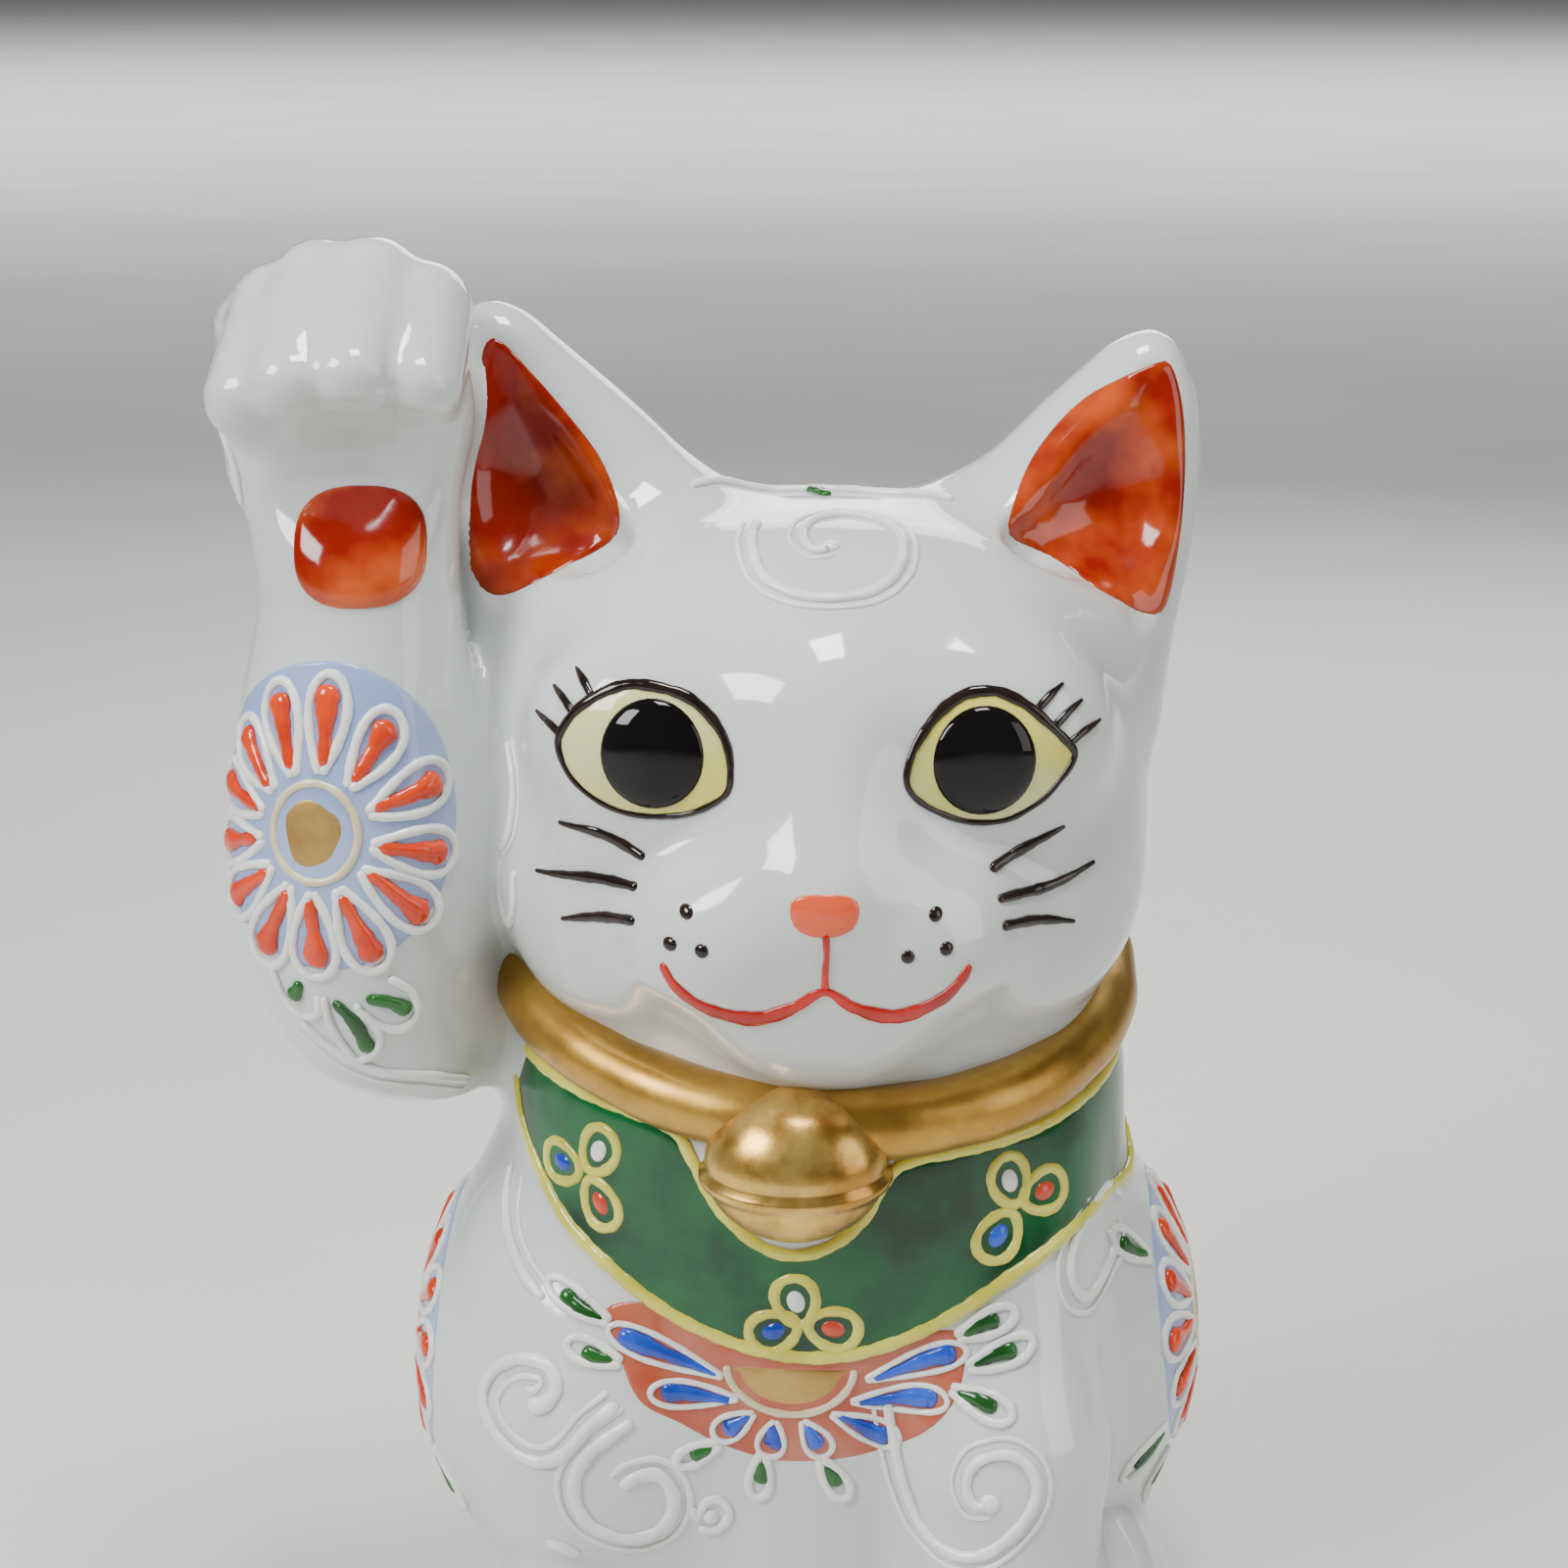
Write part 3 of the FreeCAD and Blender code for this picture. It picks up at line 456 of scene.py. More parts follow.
def tube(rings, poles=None):
    """Triangles of a closed form: rings of points joined in order, ended by two poles or, without
    poles, by its own first ring; turned so that its volume is positive."""
    count, around = rings.shape[:2]
    number = np.arange(count * around).reshape(count, around)
    chain = np.vstack([number, number[:1]]) if poles is None else number
    here, ahead = chain[:-1], chain[1:]
    faces = [np.stack([here, np.roll(here, -1, 1), np.roll(ahead, -1, 1)], -1).reshape(-1, 3),
             np.stack([here, np.roll(ahead, -1, 1), ahead], -1).reshape(-1, 3)]
    points = rings.reshape(-1, 3)
    if poles is not None:
        first, last = number[0], number[-1]
        faces.append(np.stack([np.full(around, len(points)), np.roll(first, -1), first], -1))
        faces.append(np.stack([np.full(around, len(points) + 1), last, np.roll(last, -1)], -1))
        points = np.vstack([points, poles])
    faces = np.concatenate(faces)
    a, b, c = points[faces[:, 0]], points[faces[:, 1]], points[faces[:, 2]]
    if (a * np.cross(b, c)).sum() < 0:
        faces = faces[:, ::-1]
    return points, faces


def gilding(name, bright, deep, roughness):
    """Fired gold: a metal whose tone and gloss vary with the brush and with wear."""
    finish = Finish(name, Metallic=0.85, Coat_Weight=0.2, Coat_Roughness=0.1)
    worn = finish.noise(160.0, 4.0, 0.6)
    finish.set(Base_Color=finish.ramp(worn, (0.36, (*deep, 1)), (0.62, (*bright, 1))),
               Roughness=worn * 0.25 + roughness)
    return finish.bump(finish.noise(420.0, 3.0), 0.35, 0.12)


COLLAR_WIDE, COLLAR_DEEP, COLLAR_ROLL = 29.4, 28.2, 3.6
turn = circle(240)
collar_line = np.stack([
    -0.6 + COLLAR_WIDE * np.sin(turn), -2.2 - COLLAR_DEEP * np.cos(turn),
    78.1 - 7.9 * np.cos(turn) - 1.8 * np.sin(turn)], -1)
collar_up = np.array([0, -0.27, 0.963])
collar_out = np.cross(np.gradient(collar_line, axis=0), collar_up)
collar_out /= np.linalg.norm(collar_out, axis=1)[:, None]
around = circle(24)
collar_roll = (COLLAR_ROLL + 0.12 * np.sin(3 * turn + 0.6) + 0.07 * np.sin(11 * turn)
               + 0.05 * np.sin(23 * turn + 1))
collar_rings = collar_line[:, None] + collar_roll[:, None, None] * (
    collar_out[:, None] * np.cos(around)[:, None] + collar_up * np.sin(around)[:, None] * 0.96)
collar_gold = gilding("collar_gold", (0.54, 0.31, 0.055), (0.38, 0.195, 0.028), 0.25)
collar = mesh_object("collar", *tube(collar_rings), collar_gold.material)
lay(collar, "collar_gold", "collar_roll")

# ---------------------------------------------------------------- gilded bell
# A solid clay egg pressed to the collar's front, with a raised band round its lower half where a
# real bell's two halves meet, and brighter gold than the collar's.

BELL = np.array([-2.4, -31.7, 66.7])
BELL_WIDE, BELL_DEEP, BELL_HIGH = 8.6, 6.5, 7.2
BELL_AROUND = 72
height = np.linspace(-np.pi / 2, np.pi / 2, 50)[1:-1]
side_turn = circle(BELL_AROUND)
band = (1 + 0.075 * np.exp(-(((height + 0.16) / 0.10) ** 4))
        - 0.03 * np.exp(-(((height + 0.02) / 0.05) ** 2)))
bell_rings = BELL + np.stack([
    BELL_WIDE * (np.cos(height) * band)[:, None] * np.cos(side_turn),
    BELL_DEEP * (np.cos(height) * band)[:, None] * np.sin(side_turn),
    np.repeat((BELL_HIGH * np.sin(height))[:, None], BELL_AROUND, 1)
    + 0.8 * np.cos(height)[:, None] * np.sin(side_turn)], -1)
bell_gold = gilding("bell_gold", (0.78, 0.50, 0.13), (0.42, 0.21, 0.035), 0.16)
bell_ends = BELL + np.array([(0, 0, -BELL_HIGH), (0, 0, BELL_HIGH)])
bell = mesh_object("bell", *tube(bell_rings, bell_ends), bell_gold.material)
lay(bell, "bell_gold", "bell")

# ---------------------------------------------------------------- iron red in the ears and palm
# Iron-red glaze poured into both ear cups and dabbed on the palm pad, thick and dark where it pooled,
# thin and orange at its rim.

REACH = 60.0
SETTLED = 0.004
MISSED = 0.3


def facing(middle, turn=0.0, rise=0.0):
    """A flat sheet held off the skin: (u, v) lies at middle + reach out + u across + v up and looks
    back along out; turn and rise in degrees."""
    turn, rise = math.radians(turn), math.radians(rise)
    out = np.array([math.sin(turn) * math.cos(rise), -math.cos(turn) * math.cos(rise), math.sin(rise)])
    across = np.array([math.cos(turn), math.sin(turn), 0.0])
    start = np.asarray(middle, np.float64) + REACH * out

    def sheet(uv):
        return start + uv[..., :1] * across + uv[..., 1:] * np.cross(out, across), -out
    return sheet


def wrapped(axis_x, axis_y, radius, turn=0.0, height=0.0):
    """A sheet rolled round an upright axis: u runs round it at a radius, v up from a height."""
    def sheet(uv):
        angle = math.radians(turn) + uv[..., 0] / radius
        out = np.stack([np.sin(angle), -np.cos(angle), 0 * angle], -1)
        start = np.stack([axis_x + 0 * angle, axis_y + 0 * angle, height + uv[..., 1]], -1)
        return start + REACH * out, -out
    return sheet


def settle(sheet, uv, field=body_field):
    """Lets places on a sheet drop onto the skin: their points there and the skin's direction."""
    points, way = sheet(np.asarray(uv, np.float64))
    shape = points.shape
    points, way = points.reshape(-1, 3).copy(), np.broadcast_to(way, shape).reshape(-1, 3)
    moving = np.arange(len(points))
    for _ in range(60):
        gap = field(points[moving])
        points[moving] += way[moving] * np.clip(gap * 0.85, -4, 25)[:, None]
        moving = moving[np.abs(gap) > SETTLED]
        if len(moving) == 0:
            break
    assert len(moving) == 0 or np.abs(gap).max() < MISSED, ("missed the skin", np.abs(gap).max())
    return points.reshape(shape), slope_of(field, points).reshape(shape)


def drawn(path, closed, step, ends=False):
    """A Catmull-Rom curve through the rows of a path (u, v, width), cut at even steps, and closer
    near its round ends."""
    path = np.asarray(path, np.float64)
    if closed:
        knots = np.vstack([path[-1:], path, path[:2]])
    else:
        knots = np.vstack([2 * path[0] - path[1], path, 2 * path[-1] - path[-2]])
    t = np.linspace(0, 1, 17)[:-1, None]
    dense = [(2 * b + (c - a) * t + (2 * a - 5 * b + 4 * c - d) * t**2
              + (3 * b - a - 3 * c + d) * t**3) / 2
             for a, b, c, d in zip(knots, knots[1:], knots[2:], knots[3:])]
    dense = np.vstack(dense + [knots[-2:-1]])
    length = np.concatenate([[0], np.cumsum(np.hypot(*np.diff(dense[:, :2], axis=0).T))])
    places = np.linspace(0, length[-1], max(int(length[-1] / step), 6) + 1)
    if closed:
        places = places[:-1]
    elif ends:
        near = path[0, 2] / 2 * np.array([0.05, 0.22, 0.5, 0.8])
        far = length[-1] - path[-1, 2] / 2 * np.array([0.05, 0.22, 0.5, 0.8])
        places = np.unique(np.concatenate([places, near, far]).round(3))
        places = places[(places >= 0) & (places <= length[-1])]
    return np.stack([np.interp(places, length, column) for column in dense.T], 1)


class Enamel:
    """Beads and pools of glaze on the skin that together make one piece."""

    def __init__(self):
        self.parts, self.count = [], 0

    def add(self, points, faces):
        self.parts.append((points, faces + self.count))
        self.count += len(points)

    def bead(self, sheet, path, thick=0.5, closed=False, field=body_field):
        """A line squeezed from a fine nozzle: an oval bead along a path of rows u, v, width; its
        height is thick times the root of its width, and its ends are round."""
        curve = drawn(path, closed, 0.38, True)
        points, normals = settle(sheet, curve[:, :2], field)
        if closed:
            tangent = np.roll(points, -1, 0) - np.roll(points, 1, 0)
        else:
            tangent = np.gradient(points, axis=0)
        side = np.cross(tangent, normals)
        side /= np.linalg.norm(side, axis=1)[:, None] + 1e-9
        length = np.concatenate([[0], np.cumsum(np.linalg.norm(np.diff(points, axis=0), axis=1))])
        phase = 1.7 * len(self.parts)
        wavy = 1 + 0.07 * np.sin(1.9 * length + phase) + 0.04 * np.sin(4.4 * length + 2 * phase)
        width = curve[:, 2] * wavy
        rise = thick * np.sqrt(width)
        if not closed:
            near = np.clip(np.minimum(length, length[-1] - length) / (width / 2), 0, 1)
            end = np.sqrt(1 - (1 - near) ** 2)
            width, rise = width * end, rise * end
        angle = circle(10)[:, None]
        rings = (points[:, None] + side[:, None] * np.cos(angle) * width[:, None, None] / 2
                 + normals[:, None] * (0.2 + 0.8 * np.sin(angle)) * rise[:, None, None])
        if closed:
            self.add(*tube(rings))
        else:
            self.add(*tube(rings[1:-1], points[[0, -1]]))

    def echoed(self, sheet, path, gap=1.25, closed=False, field=body_field):
        """A bead with the thinner line that spreads beside it, on its left."""
        path = np.asarray(path, np.float64)
        self.bead(sheet, path, 0.5, closed, field)
        along = np.gradient(path[:, :2], axis=0)
        along /= np.linalg.norm(along, axis=1)[:, None] + 1e-9
        beside = path.copy()
        beside[:, :2] += gap * np.stack([-along[:, 1], along[:, 0]], -1)
        beside[:, 2] *= 0.5
        self.bead(sheet, beside, 0.34, closed, field)

    def dot(self, sheet, u, v, wide, high=None, thick=0.5, field=body_field):
        """A small drop."""
        outline = oval(circle(12), u, v, wide / 2, (high or wide) / 2)
        self.pool(sheet, outline, thick, 2.0, field=field)

    def pool(self, sheet, outline, thick, edge=8.0, middle=None, field=body_field, under=0.25):
        """A filled patch inside an outline of rows u, v: its height is thick (1 - s^edge)^0.5 for s
        from 0 in the middle to 1 at the outline, and its underside lies just below the skin."""
        outline = np.asarray(outline, np.float64)
        size = np.ptp(outline, axis=0).max()
        outline = drawn(outline, True, min(0.8, size / 9))
        middle = outline.mean(0) if middle is None else np.asarray(middle, np.float64)
        steps = np.concatenate([np.linspace(0, 0.86, max(int(size / 1.7), 4))[1:], [0.93, 0.98, 1.0]])
        grid = middle + steps[:, None, None] * (outline - middle)
        top, normals = settle(sheet, grid, field)
        centre, lean = settle(sheet, middle[None], field)
        high = thick * np.sqrt(np.clip(1 - steps**edge, 0, 1))[:, None, None]
        rings = np.concatenate([top + normals * high, (top - normals * under)[::-1]])
        self.add(*tube(rings, np.vstack([centre + lean * thick, centre - lean * under])))

    def made(self, name, finish):
        """The piece as one mesh."""
        points = np.concatenate([points for points, _ in self.parts])
        faces = np.concatenate([faces for _, faces in self.parts])
        return mesh_object(name, points, faces, finish.material)

    def lay(self, name, finish):
        """Makes the piece, attaches it to the root and hides the plain node of its name."""
        lay(self.made(name, finish), finish.slot, name)


def enamel(name, thin, pooled, patches=130.0, low=0.38, high=0.66, roughness=0.1):
    """Fired colour, lighter where it lies thin and deeper where it pooled."""
    finish = Finish(name, Roughness=roughness)
    depth = finish.noise(patches, 3.0)
    finish.set(Base_Color=finish.ramp(depth, (low, (*thin, 1)), (high, (*pooled, 1))))
    return finish.bump(finish.noise(600.0, 2.0), 0.3, 0.06)


def ears_alone(p):
    """The head and ears without the raised foreleg beside them."""
    return ears_field(p, head_field(p))


FRONT = facing((0, 0, 0))
iron_red = enamel("iron_red", (0.58, 0.085, 0.012), (0.25, 0.008, 0.002), 110.0, 0.34, 0.58)
right_ear = Enamel()
right_ear.pool(FRONT, [(-31.6, 139.8), (-27.6, 136.4), (-24.2, 132.6), (-21.0, 128.4),
    (-19.3, 123.6), (-20.5, 120.6), (-26.4, 117.8), (-31.2, 115.6), (-34.2, 117.2), (-34.7, 121.7),
    (-34.6, 130.3), (-33.4, 136.6)], 0.35, 6.0, (-28.4, 125.5), ears_alone)
right_ear.lay("right_ear_red", iron_red)
left_ear = Enamel()
left_ear.pool(FRONT, [(32.6, 137.4), (34.2, 136.8), (35.2, 133), (35.5, 127.5), (35.0, 119.8),
    (33.8, 114.2), (31.4, 113.8), (28, 115.9), (22.6, 119.2), (18.2, 121.6), (18.9, 125.4),
    (21.5, 129.9), (26, 134.4)], 0.35, 6.0, (28.6, 124.5), ears_alone)
left_ear.lay("left_ear_red", iron_red)
palm = Enamel()
turn = circle(24)
corner = (np.abs(np.cos(turn)) ** 2.8 + np.abs(np.sin(turn)) ** 2.8) ** (-1 / 2.8)
palm.pool(FRONT, oval(turn, -42.9, 122.4, 6.1 * corner, 5.3 * corner), 0.7, 3.5)
palm.lay("palm_pad", iron_red)

# ---------------------------------------------------------------- eyes
# Two pale yellow grounds painted on the glaze, a thick drop of black laid on each as its pupil, and a
# dark brown line drawn round each eye, heavier on top, with three lashes at its outer end.

eye_yellow = enamel("eye_yellow", (0.66, 0.70, 0.33), (0.70, 0.62, 0.12), 60.0, 0.42, 0.62)
black_enamel = enamel("black_enamel", (0.006, 0.005, 0.005), (0.003, 0.002, 0.002), 120.0,
                      roughness=0.05)
black_enamel.shader.inputs["Specular IOR Level"].default_value = 0.3
black_line = enamel("black_line", (0.020, 0.011, 0.008), (0.008, 0.005, 0.004), 300.0)

RIGHT_EYE = [(-24.0, 106.6), (-22.7, 108.9), (-21.1, 110.3), (-19.1, 111.4), (-17.1, 111.9),
    (-14.7, 111.7), (-12.3, 111.0), (-10.5, 109.7), (-9.2, 108.1), (-8.5, 106.4), (-8.3, 104.3),
    (-8.6, 102.6), (-10.0, 101.3), (-12.2, 100.2), (-14.8, 99.8), (-17.2, 99.9), (-19.2, 100.4),
    (-21.1, 101.4), (-22.7, 102.8), (-23.7, 104.5)]
LEFT_EYE = [(7.5, 104.0), (7.9, 105.9), (8.8, 107.6), (10.2, 109.4), (11.7, 110.6), (13.3, 111.3),
    (15.4, 111.4), (17.0, 110.9), (18.7, 109.9), (20.4, 108.4), (21.9, 106.9), (22.9, 105.6),
    (22.7, 104.5), (21.6, 102.9), (20.3, 101.4), (18.6, 100.2), (16.9, 99.4), (14.9, 99.2),
    (12.8, 99.5), (10.7, 100.4), (9.0, 101.5), (7.9, 102.7)]
PUPIL_WIDE, PUPIL_HIGH = 4.75, 5.15
for hand, outline, pupil in (("right", RIGHT_EYE, (-15.4, 105.7)), ("left", LEFT_EYE, (14.6, 105.1))):
    outline = np.array(outline)
    ground = Enamel()
    ground.pool(FRONT, outline, 0.16)
    ground.lay(hand + "_eye_ground", eye_yellow)
    drop = Enamel()
    drop.pool(FRONT, oval(circle(24), *pupil, PUPIL_WIDE, PUPIL_HIGH), 1.05, 2.2)
    drop.lay(hand + "_pupil", black_enamel)
    line = Enamel()
    weight = 0.74 + 0.38 * np.clip((outline[:, 1] - 105) / 6, -0.4, 1)
    line.bead(FRONT, np.column_stack([outline, weight]), 0.42, True)
    line.lay(hand + "_eye_outline", black_line)

lash = Enamel()
for root, tip in [((-23.7, 106.9), (-26.3, 108.3)), ((-22.6, 109.0), (-24.6, 110.9)),
        ((-20.9, 110.6), (-22.5, 112.7)), ((19.3, 109.6), (21.9, 111.6)),
        ((20.9, 108.0), (23.7, 110.0)), ((22.3, 106.3), (25.5, 107.9))]:
    middle = ((root[0] + tip[0]) / 2, (root[1] + tip[1]) / 2 + 0.15)
    lash.bead(FRONT, [(*root, 0.8), (*middle, 0.8), (*tip, 0.3)], 0.4)
lash.lay("lashes", black_line)

# ---------------------------------------------------------------- nose, mouth, spots and whiskers
# A coral dab for the nose, a red line for the stem and lips, and black dots and whiskers, each drawn
# in one stroke of a loaded brush, thick where the stroke slows.

nose_coral = enamel("nose_coral", (0.80, 0.105, 0.034), (0.68, 0.065, 0.022), 140.0)
mouth_red = enamel("mouth_red", (0.58, 0.018, 0.009), (0.32, 0.007, 0.005), 180.0)
nose = Enamel()
nose.pool(FRONT, [(-3.0, 93.6), (-2.4, 94.8), (0.1, 95.2), (2.6, 94.8), (3.2, 93.6), (2.7, 92.0),
    (1.4, 91.3), (0.1, 91.2), (-1.2, 91.3), (-2.5, 92.0)], 0.26, 3.0)
nose.lay("nose", nose_coral)
mouth = Enamel()
mouth.bead(FRONT, [(0.2, 91.6, 0.7), (0.3, 89.4, 0.6), (0.2, 87.4, 0.65), (0.2, 85.5, 0.8)], 0.36)
mouth.bead(FRONT, [(-14.6, 87.4, 0.9), (-13.3, 85.2, 1.3), (-10.6, 83.2, 1.6), (-6.2, 82.3, 1.85),
    (-2.6, 83.6, 1.3), (0.2, 85.3, 0.9), (2.9, 83.6, 1.3), (6.7, 82.6, 1.85), (10.3, 84.0, 1.6),
    (12.4, 86.0, 1.2), (13.3, 87.6, 0.8)], 0.3)
mouth.lay("mouth_line", mouth_red)
spots = Enamel()
for u, v in [(-12.3, 92.4), (-13.8, 89.4), (-10.9, 89.2), (10.1, 92.5), (11.1, 89.4), (7.6, 88.9)]:
    spots.dot(FRONT, u, v, 1.25, 1.3, 0.3)
spots.lay("muzzle_spots", black_line)
whisker = Enamel()
for outer, bend, inner in [((-24.4, 97.9), (-20.4, 97.6), (-16.2, 95.8)),
        ((-26.8, 92.6), (-21.6, 93.2), (-16.9, 93.3)), ((-24.3, 88.7), (-20.7, 89.7), (-17.1, 90.5)),
        ((22.4, 98.0), (19.0, 96.6), (15.3, 95.0)), ((25.5, 93.8), (20.9, 92.5), (15.9, 92.6)),
        ((23.6, 88.6), (20.0, 89.6), (16.3, 90.3))]:
    whisker.bead(FRONT, [(*outer, 0.4), (*bend, 1.05), (*inner, 0.95)], 0.36)
whisker.lay("whiskers", black_line)

# ---------------------------------------------------------------- bib
# A green enamel bib laid round the chest under the collar, with a trailed yellow border along its foot,
# under the collar and round the bell, and trefoils of yellow rings that each hold a drop of enamel.

green_enamel = enamel("green_enamel", (0.004, 0.105, 0.026), (0.002, 0.040, 0.012), 95.0, 0.40, 0.60)
yellow_enamel = enamel("yellow_enamel", (0.70, 0.66, 0.10), (0.55, 0.50, 0.055), 160.0)
cobalt_enamel = enamel("cobalt_enamel", (0.030, 0.105, 0.66), (0.012, 0.040, 0.36), 160.0)
white_enamel = enamel("white_enamel", (0.84, 0.85, 0.82), (0.72, 0.74, 0.71), 160.0)
coral_enamel = enamel("coral_enamel", (0.60, 0.070, 0.030), (0.40, 0.035, 0.020), 160.0)

CHEST = wrapped(0, 0, 31)
BIB_FOOT = [(-44, 76), (-38.5, 73.0), (-34.8, 64.0), (-28.5, 58.2), (-22.0, 54), (-12.1, 48.4),
    (-0.6, 46.2), (10.1, 48.4), (19.6, 53.8), (27.1, 56.4), (35.4, 56.4), (43.7, 55.8), (49.5, 58.0),
    (53.0, 63.0), (54.5, 70.0), (54.0, 77.0)]
BIB_HEAD = [(-44.0, 74.0), (-36.0, 71.4), (-26.0, 70.0), (-19.7, 69.4), (-14.6, 68.4), (-12.4, 65.6),
    (-9.9, 61.4), (-6.4, 58.2), (-3.0, 57.0), (0.6, 57.8), (3.9, 60.4), (6.4, 64.6), (9.0, 66.0),
    (14.0, 66.3), (23.1, 66.9), (38.2, 69.5), (46.0, 73.0), (54.0, 77.0)]
BIB_ROWS, BIB_THICK, BIB_UNDER = 26, 0.26, 0.3
columns = np.linspace(-43.5, 53.8, 260)
foot_path, head_path = drawn(BIB_FOOT, False, 0.4), drawn(BIB_HEAD, False, 0.4)
foot_line = np.interp(columns, np.maximum.accumulate(foot_path[:, 0]), foot_path[:, 1])
head_line = np.interp(columns, np.maximum.accumulate(head_path[:, 0]), head_path[:, 1])
across = 0.5 - 0.5 * np.cos(np.linspace(0, np.pi, BIB_ROWS))
bib_high = np.maximum(head_line - foot_line, 0.2)
bib_grid = np.stack([np.repeat(columns[:, None], BIB_ROWS, 1),
                     foot_line[:, None] + bib_high[:, None] * across], -1)
top, normals = settle(CHEST, bib_grid, torso_field)
high = BIB_THICK * (1 - np.abs(2 * across - 1) ** 14)[None, :, None] ** 0.5
bib_ground = Enamel()
bib_rings = np.concatenate([top + normals * high, (top - normals * BIB_UNDER)[:, ::-1]], 1)
bib_ground.add(*tube(bib_rings, bib_rings[[0, -1]].mean(1)))
bib_ground.lay("bib_ground", green_enamel)
border = Enamel()
for line, wide in ((BIB_FOOT[1:], 1.5), (BIB_HEAD, 1.3)):
    border.bead(CHEST, [(u, v, wide) for u, v in line], 0.5, False, torso_field)
border.lay("bib_border_trail", yellow_enamel)

TREFOILS = [((-27.6, 62.2), (-22.7, 64.7), (-22.5, 59.4)), ((19.1, 62.4), (22.9, 60.6),
    (17.6, 57.2)), ((-2.4, 52.2), (-4.6, 48.9), (1.2, 49.3))]
turn = circle(12)
rings, drops = Enamel(), {"blue": Enamel(), "white": Enamel(), "red": Enamel()}
ORDERS = ("blue", "white", "red"), ("white", "red", "blue"), ("white", "blue", "red")
for lobes, order in zip(TREFOILS, ORDERS):
    middle = np.mean(lobes, axis=0)
    for lobe, colour in zip(np.array(lobes), order):
        out = lobe - middle
        out /= np.linalg.norm(out)
        loop = lobe + 2.5 * np.outer(np.cos(turn), out) + 1.95 * np.outer(
            np.sin(turn) * (1 + 0.18 * np.cos(turn)), (-out[1], out[0]))
        rings.bead(CHEST, even(loop, 1.2), 0.5, True, torso_field)
        drops[colour].pool(CHEST, lobe + 1.3 * np.outer(np.cos(turn), out) + 0.95 * np.outer(
            np.sin(turn), (-out[1], out[0])), 0.62, 2.0, field=torso_field)
rings.lay("bib_blossom_rings", yellow_enamel)
drops["blue"].lay("bib_blue_dots", cobalt_enamel)
drops["white"].lay("bib_white_dots", white_enamel)
drops["red"].lay("bib_red_dots", coral_enamel)

# ---------------------------------------------------------------- flowers
# Five chrysanthemums: a thin wash of blue or coral, petals looped in trailed white, a drop-shaped
# stroke in each petal, a gilded heart in a cream ring, and leaves of green strokes in white loops.

orange_enamel = enamel("orange_enamel", (0.74, 0.058, 0.009), (0.56, 0.028, 0.005), 200.0)
leaf_green = enamel("leaf_green", (0.022, 0.135, 0.022), (0.008, 0.058, 0.010), 160.0)
blue_wash = enamel("blue_wash", (0.36, 0.45, 0.68), (0.22, 0.32, 0.62), 70.0, 0.34, 0.68)
coral_wash = enamel("coral_wash", (0.52, 0.17, 0.105), (0.42, 0.060, 0.022), 130.0, 0.34, 0.68)
cream_enamel = enamel("cream_enamel", (0.72, 0.66, 0.44), (0.60, 0.52, 0.30), 160.0)
heart_gold = gilding("heart_gold", (0.58, 0.37, 0.12), (0.40, 0.23, 0.06), 0.36)


def petal(near, far, half, open_by=0.32):
    """A loop from a near place to a far one, as rows u, v: s = (1 - cos a) / 2 along it and
    w = half sin a sin(a / 2)^1.2 across it, for a from open_by to 2 pi less open_by."""
    near, far = np.asarray(near, np.float64), np.asarray(far, np.float64)
    a = np.linspace(open_by, 2 * np.pi - open_by, 15)[:, None]
    way = (far - near) / np.linalg.norm(far - near)
    s, w = (1 - np.cos(a)) / 2, half * np.sin(a) * np.sin(a / 2) ** 1.2
    return near + s * (far - near) + w * np.array([-way[1], way[0]])


def wheel(middle, near, far, turns, sway=0.03):
    """Petals round a heart: pairs of their near and far ends, their reach a little uneven."""
    pairs = []
    for number, turn in enumerate(turns):
        way = np.array([math.cos(math.radians(turn)), math.sin(math.radians(turn))])
        reach = far * (1 + sway * math.sin(2.3 * number))
        pairs.append((np.array(middle) + near * way, np.array(middle) + reach * way))
    return pairs


